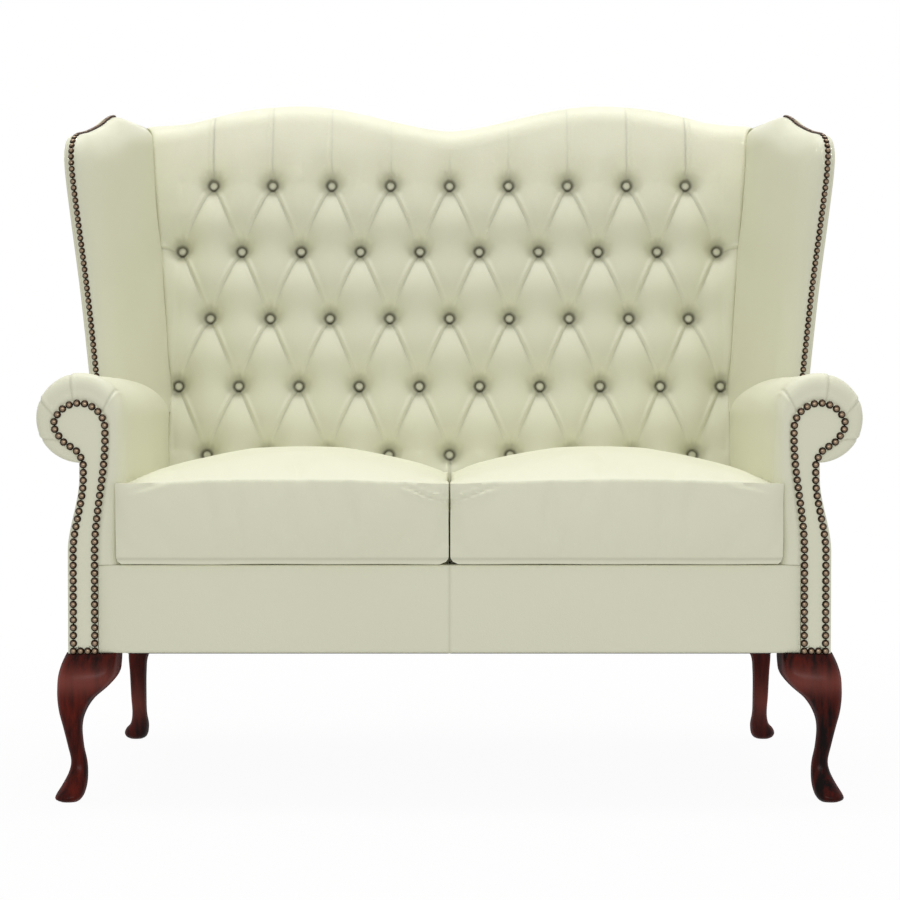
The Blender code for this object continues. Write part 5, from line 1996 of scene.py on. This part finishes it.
    def corner_folds(self, co: Array, normal: Array, high: Array) -> Array:
        """Slack folds under the top front seam near the inner corner, and a faint one outside.

        Args:
            co: Places.
            normal: Normals.
            high: Highest corner of the cushion's space.

        Returns:
            How far each place moves along its normal.
        """
        facing = smooth((-normal[:, 1] - 0.5) / 0.4)
        below = high[2] - co[:, 2]
        push = np.zeros(len(co))
        seed = 0.3 if self.side is Side.LEFT else 1.1
        for start, length, drop, depth in self.folds:
            run = np.abs(co[:, 0]) - start
            share = unit(run / length)
            if start > 0.4:
                share = 1.0 - share
            off = below - (drop * (1.0 - share ** 2) + 0.002 * np.sin(6.0 * share + seed))
            here = smooth((run + 0.01) / 0.015) * smooth((length - run) / 0.03)
            push += facing * here * depth * (0.8 * bell(off - 0.006, 0.0045) - bell(off, 0.0032))
        return push

    def zip(self) -> None:
        """The zip in the rear wall: teeth and slider."""
        low, high = self.corners()
        middle = (low[0] + high[0]) / 2
        half = 0.42 * (high[0] - low[0])
        y, z = high[1] + 0.0004, SIZES.cushion_bottom + SIZES.cushion_edge / 2
        tooth = Bench.cube("tooth", (0, 0, 0), self.tooth)
        Bench.apply(tooth, "BEVEL", width=0.0003, segments=1)
        places = [Matrix.Translation((middle - half + self.tooth_pitch * (i + 0.5), y,
                                      z + (self.tooth_shift if i % 2 else -self.tooth_shift)))
                  for i in range(int(2 * half / self.tooth_pitch))]
        teeth = Bench.copies(self.named("zip_teeth"), tooth, places)
        self.dress(teeth, Slot.NAIL, None, body=self.body)
        slider = Bench.cube(self.named("zip_slider"), (middle + half - 0.012, y + 0.0012, z), self.slider)
        under = np.array([face.normal.z < -0.9 for face in slider.data.polygons])
        with Bench.chosen(slider, "FACE", under):
            bpy.ops.mesh.inset(thickness=0.0010)
            bpy.ops.mesh.extrude_region_move(TRANSFORM_OT_translate={"value": (0.0, 0.0, -self.pull_tab)})
            bpy.ops.mesh.inset(thickness=0.0004, depth=0.0008)
        Bench.apply(slider, "BEVEL", width=0.0006, segments=2)
        self.dress(slider, Slot.NAIL, 40.0, body=self.body)

    def build(self) -> None:
        """Build the cushion's pieces."""
        piece = self.block()
        share = self.crown(piece)
        self.simulate(piece, share)
        self.soften(piece)
        self.dress(piece, Slot.LEATHER, 55.0, [self.named("cushion_cover")], 0.85, self.body)
        self.zip()


@dataclass
class Legs(Maker):
    """Two polished legs of one side: cabriole in front, swept behind."""

    rings: int = 56
    segments: int = 44
    drift: float = 0.0042
    sole_round: float = 0.0008
    # Strength of the painted highlight.
    rub: float = 0.70
    front_stations: tuple[tuple[float, float, float, float], ...] = (
        (0.0, 0.60, 0.220, 2.2), (0.020, 1.0, 0.280, 2.2), (0.050, 0.92, 0.330, 2.3),
        (0.115, 0.40, 0.372, 2.3), (0.195, -0.12, 0.378, 2.3), (0.270, -0.29, 0.360, 2.3),
        (0.370, -0.05, 0.311, 2.4), (0.500, 0.32, 0.290, 2.6), (0.600, 0.65, 0.350, 2.8),
        (0.690, 0.83, 0.510, 3.2), (0.770, 0.88, 0.780, 3.8), (0.850, 0.82, 0.965, 4.2),
        (0.930, 0.52, 1.0, 4.6), (1.0, 0.10, 1.0, 5.0))
    rear_stations: tuple[tuple[float, float, float, float, float], ...] = (
        (0.0, 0.30, 0.24, 1.0, 2.1), (0.016, 0.31, 0.35, 1.0, 2.1), (0.045, 0.32, 0.41, 1.0, 2.2),
        (0.085, 0.29, 0.39, 0.95, 2.3), (0.130, 0.22, 0.31, 0.80, 2.6), (0.220, 0.24, 0.25, 0.50, 3.0),
        (0.360, 0.30, 0.26, 0.18, 3.4), (0.550, 0.38, 0.28, -0.04, 3.8), (0.680, 0.42, 0.33, -0.06, 4.0),
        (0.780, 0.29, 0.47, -0.04, 4.2), (0.860, 0.20, 0.49, -0.02, 4.4), (0.930, 0.10, 0.50, -0.01, 4.7),
        (1.0, 0.0, 0.50, 0.0, 5.0))

    def smooth_stations(self, stations: Sequence[tuple[float, ...]]) -> Array:
        """Stations read off smooth curves at many levels, finer at the foot.

        Args:
            stations: Height share of each with its measures.

        Returns:
            One row for each level.
        """
        table = np.array(stations)
        levels = np.linspace(0.0, 1.0, self.rings) ** 1.25
        columns = [levels]
        for k in range(1, table.shape[1]):
            line = np.array(through(list(zip(table[:, 0], table[:, k])), 12))
            columns.append(np.interp(levels, line[:, 0], line[:, 1]))
        return np.stack(columns, axis=1)

    def ring(self, low: tuple[float, float], high: tuple[float, float], power: float, share: float) -> Array:
        """Points round a soft-cornered section.

        Args:
            low: X and setback of one corner.
            high: X and setback of the opposite corner.
            power: Squareness of the section, 2 for an ellipse.
            share: Its height as a share of the leg's.

        Returns:
            The ring's places.
        """
        turn = 2 * math.pi * np.arange(self.segments) / self.segments
        middle = (np.array(low) + np.array(high)) / 2
        half = (np.array(high) - np.array(low)) / 2
        x, setback = (middle[k] + half[k] * np.sign(wave) * np.abs(wave) ** (2 / power)
                      for k, wave in enumerate((np.cos(turn), np.sin(turn))))
        return SIZES.place(x, setback, share * SIZES.leg_height)

    def front_ring(self, share: float, toe: float, knee: float, power: float) -> Array:
        """Section of the front leg, from its station.

        Args:
            share: Height as a share of the leg's.
            toe: Share of the toe's overhang.
            knee: Share of the knee's width.
            power: Squareness.

        Returns:
            The ring's places.
        """
        out, into = toe * SIZES.toe_overhang, knee * SIZES.knee_width
        drift = self.drift * (1.0 + 0.9 * float(smooth((share - 0.6) / 0.3)))
        return self.ring((SIZES.base_outer - into + drift, -out),
                         (SIZES.base_outer + out + self.drift, into), power, share)

    def rear_ring(self, share: float, drift: float, half: float, kick: float, power: float) -> Array:
        """Section of the rear leg, from its station.

        Args:
            share: Height as a share of the leg's.
            drift: Share of a width sideways.
            half: Half width as a share.
            kick: Share of the kick backwards.
            power: Squareness.

        Returns:
            The ring's places.
        """
        reach = half * SIZES.rear_leg_width
        middle = SIZES.post_middle + SIZES.foot_splay * (1 - share) + drift * SIZES.rear_leg_width
        back = SIZES.frame_depth + SIZES.post_depth / 2 + kick * SIZES.foot_kick
        return self.ring((middle - reach, back - reach), (middle + reach, back + reach), power, share)

    def leg(self, node: str, rings: list[Array], rubbed: tuple[float, float]) -> None:
        """Extrude a leg from its sole up through its rings.

        Args:
            node: CAD node that it replaces.
            rings: Sections from the sole up.
            rubbed: Share of its height where the painted highlight is strongest, and how far it spreads.
        """
        sole = rings[0]
        middle = sole.mean(axis=0)
        rings = [middle + (sole - middle) * 0.94, sole + np.array([0.0, 0.0, self.sole_round])] + rings[1:]
        Bench.clear()
        bpy.ops.mesh.primitive_circle_add(vertices=self.segments, radius=0.02, fill_type="NGON")
        piece = Bench.name(bpy.context.object, node + "_polished")
        Bench.move(piece, rings[0])
        for ring in rings[1:]:
            bpy.ops.object.mode_set(mode="EDIT")
            bpy.ops.mesh.extrude_region_move(TRANSFORM_OT_translate={"value": (0.0, 0.0, 0.001)})
            bpy.ops.object.mode_set(mode="OBJECT")
            co = Bench.places(piece)
            co[np.array([vert.select for vert in piece.data.vertices])] = ring
            Bench.move(piece, co)
        Bench.close(piece, fill=True)
        height = Bench.places(piece)[:, 2] / SIZES.leg_height
        front = smooth((0.45 - Bench.normals(piece)[:, 1]) / 0.9)
        # Painted highlight on the front faces, in a band round the given height.
        Bench.mark(piece, "rub", self.rub * front * bell(height - rubbed[0], rubbed[1]))
        self.dress(piece, Slot.MAHOGANY, 50.0, [node])

    def build(self) -> None:
        """Build the side's two legs."""
        # Height and spread of each leg's painted highlight.
        for row, stations, ring, rubbed in (
                ("front", self.front_stations, self.front_ring, (0.82, 0.085)),
                ("rear", self.rear_stations, self.rear_ring, (0.30, 0.16))):
            rings = [ring(*station) for station in self.smooth_stations(stations)]
            self.leg(f"{row}_{self.side.label}_leg", rings, rubbed)


@dataclass
class SeatDeck(Maker):
    """The cloth-covered felt over the springs, and the dust cover under the frame."""

    felt_round: float = 0.0090
    spring_print: float = 0.0011
    spring_pitch: float = 0.1180
    spring_bend: float = 0.052
    leg_gap: float = 0.008
    dust_sag: float = 0.0050
    dust_thickness: float = 0.0009
    dust_cell: float = 0.009
    staple: Triple = (0.0100, 0.0012, 0.0009)
    staple_pitch: float = 0.0480

    def edge_profile(self, low: float, high: float, thickness: float, cells: int) -> tuple[Array, Array]:
        """Places across the felt and how far each lies under its top.

        Args:
            low: First edge.
            high: Last edge.
            thickness: Thickness of the felt.
            cells: Cells between the rounded edges.

        Returns:
            Places and drops.
        """
        r = self.felt_round
        turns = quarter(6)
        inset = np.concatenate([[0.0], r * (1.0 - np.cos(turns))])
        drop = np.concatenate([[thickness], r * (1.0 - np.sin(turns))])
        flat = np.linspace(low + r, high - r, cells)[1:-1]
        return (np.concatenate([low + inset, flat, high - inset[::-1]]),
                np.concatenate([drop, np.zeros(len(flat)), drop[::-1]]))

    def felt(self) -> None:
        """The pad on the springs, whose wires print through a little."""
        low, high = (np.array(corner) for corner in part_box("seat_platform"))
        thickness = high[2] - low[2]
        x, drop_x = self.edge_profile(low[0], high[0], thickness, 150)
        y, drop_y = self.edge_profile(low[1], high[1], thickness, 84)
        grid_x, grid_y = np.meshgrid(x, y)
        drop = np.maximum(drop_x[None, :], drop_y[:, None])
        wires = (np.abs(grid_x) - 0.5 * self.spring_pitch) / self.spring_pitch
        prints = 0.5 - 0.5 * np.cos(2 * math.pi * wires)
        ripple = 0.5 + 0.5 * np.sin(2 * math.pi * grid_y / self.spring_bend)
        uneven = 0.6 * (1.0 + sway(grid_x, grid_y, 0.24, 2.5))
        soft = self.spring_print * (prints * (0.55 + 0.45 * ripple) + uneven)
        drop = drop + soft * (drop < 0.5 * self.felt_round)
        piece = Bench.sheet("seat_deck", np.stack([grid_x, grid_y, high[2] - drop], axis=-1))
        Bench.close(piece, fill=True)
        self.dress(piece, Slot.DECK, 60.0, ["seat_platform"], 0.7)

    def dust_outline(self) -> Path:
        """Setbacks along the dust cover with its half width at each, stepped at the legs.

        Returns:
            Setbacks with their half widths.
        """
        low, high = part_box("dust_cover")
        wide = high[0]
        narrow = SIZES.base_outer - SIZES.knee_width - self.leg_gap
        front = SIZES.knee_width + self.leg_gap
        back = SIZES.frame_depth + (SIZES.post_depth - SIZES.rear_leg_width) / 2 - self.leg_gap
        step = 0.0004
        return [(low[1] - SIZES.front_y, narrow), (front, narrow), (front + step, wide), (back - step, wide),
                (back, narrow), (high[1] - SIZES.front_y, narrow)]

    def dust(self) -> None:
        """The black cloth stretched under the frame, sagging a little between its staples."""
        corners = self.dust_outline()
        near, far = corners[0][0], corners[-1][0]
        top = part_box("dust_cover")[1][2]
        u = np.linspace(-1.0, 1.0, 121)
        lines, area = [], 0.0
        for (a, half_a), (b, half_b) in zip(corners[:-1], corners[1:]):
            area += (b - a) * (half_a + half_b)
            for share in np.linspace(0.0, 1.0, max(2, int(round((b - a) / self.dust_cell))))[:-1]:
                lines.append((a + (b - a) * share, half_a + (half_b - half_a) * share))
        points = []
        for setback, half in lines + [corners[-1]]:
            along = unit((setback - near) / (far - near))
            inside = np.minimum((half - np.abs(u * half)) / 0.10, min(setback - near, far - setback) / 0.10)
            ripple = 0.0006 * np.sin(2 * math.pi * u * half / self.staple_pitch)
            ripple = ripple * np.exp(-3.0 * np.maximum(inside, 0.0)) * smooth(inside * 8.0)
            sag = self.dust_sag * math.sin(math.pi * along) * (1.0 - u ** 2) + 0.0005 + ripple
            points.append(SIZES.place(u * half, setback, top - 0.0002 - sag))
        piece = Bench.sheet("dust_cloth", np.array(points))
        Bench.turn_out(piece, (0.0, 0.0, -1.0))
        Bench.thicken(piece, self.dust_thickness)
        self.dress(piece, Slot.DUST, 50.0, ["dust_cover"])

    def staples(self) -> None:
        """Wire staples along the edges of the dust cover."""
        corners = self.dust_outline()
        near, far, wide, narrow = corners[0][0], corners[-1][0], corners[2][1], corners[0][1]
        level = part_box("dust_cover")[1][2] - 0.0012
        pattern = Bench.cube("staple", (0, 0, 0), self.staple)
        Bench.apply(pattern, "BEVEL", width=0.0003, segments=2)
        turned = Matrix.Rotation(math.pi / 2, 4, "Z")
        places = []
        for x in np.linspace(-narrow + 0.02, narrow - 0.02, int(2 * narrow / self.staple_pitch)):
            for setback in (near + 0.012, far - 0.008):
                places.append(Matrix.Translation(SIZES.place(x, setback, level)))
        for setback in np.linspace(corners[2][0] + 0.02, corners[3][0] - 0.02, 9):
            for x in (0.008 - wide, wide - 0.008):
                places.append(Matrix.Translation(SIZES.place(x, setback, level)) @ turned)
        self.dress(Bench.copies("dust_staples", pattern, places), Slot.STEEL, 40.0)

    def build(self) -> None:
        """Build the deck and the dust cover."""
        self.felt()
        self.dust()
        self.staples()


@dataclass
class HiddenFrame(Maker):
    """The wood, springs and cloths that stay as the frame gives them."""

    def finish_of(self, node: str) -> Material:
        """Finish of a node by its name."""
        words = {"spring": Slot.STEEL, "bolt": Slot.STEEL, "hessian": Slot.HESSIAN, "core": Slot.FOAM}
        return self.finishes[next((slot for word, slot in words.items() if word in node), Slot.BEECH)]

    def dress_nodes(self, nodes: dict[str, Piece]) -> None:
        """Give every node that still shows its procedural finish.

        Args:
            nodes: The frame's nodes by name.
        """
        for name, node in nodes.items():
            if node.hide_render:
                continue
            node.data.materials.clear()
            node.data.materials.append(self.finish_of(name))
            LOG.info("%s keeps its solid", name)


@dataclass
class Studio:
    """Camera, floor, lights and white surroundings."""

    focal: float = 2145.0
    frame: float = 900.0
    sensor: float = 36.0
    distance: float = 3.30
    height: float = 0.62
    shift: float = 0.0008
    horizon_drop: float = 50.0
    world_level: float = 0.55
    floor_size: float = 30.0

    def camera(self) -> None:
        """Put the camera where the photograph was taken from."""
        data = bpy.data.cameras.new("camera")
        data.sensor_width = self.sensor
        data.lens = self.focal / self.frame * self.sensor
        made = bpy.data.objects.new("camera", data)
        made.location = (self.shift, SIZES.front_y - self.distance, self.height)
        made.rotation_euler = (math.pi / 2 - math.atan(self.horizon_drop / self.focal), 0.0, 0.0)
        bpy.context.scene.collection.objects.link(made)
        bpy.context.scene.camera = made

    def lamp(self, name: str, place: Triple, aim: Triple, size: tuple[float, float], power: float,
             spread: float = 180.0) -> None:
        """Add a soft box.

        Args:
            name: Name of the lamp.
            place: Where it hangs.
            aim: Point that it looks at.
            size: Width and height.
            power: Watts.
            spread: Angle that its grid lets through, in degrees.
        """
        data = bpy.data.lights.new(name, "AREA")
        data.shape = "RECTANGLE"
        data.spread = math.radians(spread)
        data.size, data.size_y = size
        data.energy = power
        made = bpy.data.objects.new(name, data)
        made.location = place
        made.rotation_euler = (Vector(aim) - Vector(place)).to_track_quat("-Z", "Y").to_euler()
        bpy.context.scene.collection.objects.link(made)

    def lights(self) -> None:
        """Hang the lamps."""
        self.lamp("top_box", (0.0, 0.90, 8.0), (0.0, 0.38, 0.5), (7.0, 2.0), 420.0)
        self.lamp("front_box", (0.0, -4.2, 0.95), (0.0, 0.0, 0.5), (3.2, 0.55), 31.0)
        self.lamp("crest_grid", (0.0, -3.6, 1.75), (0.0, 0.42, 1.12), (1.9, 0.15), 0.23, 6.0)
        self.lamp("rear_box", (0.0, 4.4, 1.9), (0.0, 0.3, 0.7), (2.6, 1.6), 16.0)

    def seen_white(self, recipe: Recipe) -> Socket:
        """Share of rays that see the surroundings as plain white."""
        path = recipe.node("LightPath").outputs
        return recipe.math("MAXIMUM", recipe.math("MAXIMUM", path["Is Camera Ray"], path["Is Glossy Ray"]),
                           path["Is Transmission Ray"])

    def world(self) -> None:
        """White surroundings."""
        bpy.context.scene.world = bpy.data.worlds.new("studio")
        recipe = Recipe(bpy.context.scene.world, "Background")
        level = recipe.spread(self.seen_white(recipe), self.world_level, 1.0)
        recipe.set(Strength=level, Color=(1.0, 1.0, 1.0, 1.0))

    def floor(self) -> None:
        """A white floor that keeps a soft shadow."""
        Bench.clear()
        bpy.ops.mesh.primitive_grid_add(x_subdivisions=8, y_subdivisions=8, size=self.floor_size)
        floor = Bench.name(bpy.context.object, "floor")
        recipe = Recipe(bpy.data.materials.new("floor"))
        recipe.set(Base_Color=(0.62, 0.62, 0.61, 1.0), Roughness=0.9, Specular_IOR_Level=0.0)
        place = recipe.node("TexCoord").outputs["Object"]
        away = recipe.node("VectorMath", operation="LENGTH", in_Vector=place).outputs["Value"]
        clear = recipe.node("MapRange", in_Value=away, in_From_Min=0.5, in_From_Max=2.2, in_To_Min=0.955,
                            in_To_Max=1.0).outputs["Result"]
        blend = recipe.node("MixShader", in_Fac=recipe.math("MULTIPLY", self.seen_white(recipe), clear))
        recipe.put(blend, 1, recipe.shader.outputs["BSDF"])
        recipe.put(blend, 2, recipe.node("Emission").outputs["Emission"])
        recipe.put(recipe.tree.nodes["Material Output"], "Surface", blend.outputs["Shader"])
        floor.data.materials.append(recipe.owner)

    def build(self) -> None:
        """Set the scene up."""
        bpy.context.scene.view_settings.view_transform = "Standard"
        self.camera()
        self.lights()
        self.world()
        self.floor()


def main() -> None:
    """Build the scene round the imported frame."""
    logging.basicConfig(level=logging.INFO, format="%(name)s: %(message)s")
    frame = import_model()
    finishes = all_finishes()
    Studio().build()
    TuftedBack(finishes).build()
    OutsideBack(finishes).build()
    for side in Side:
        Wing(finishes, side).build()
        Arm(finishes, side).build()
        SeatCushion(finishes, side).build()
    FrontBorder(finishes).build()
    for side in Side:
        Legs(finishes, side).build()
    SeatDeck(finishes).build()
    HiddenFrame(finishes).dress_nodes(frame["nodes"])


if __name__ == "__main__":
    main()
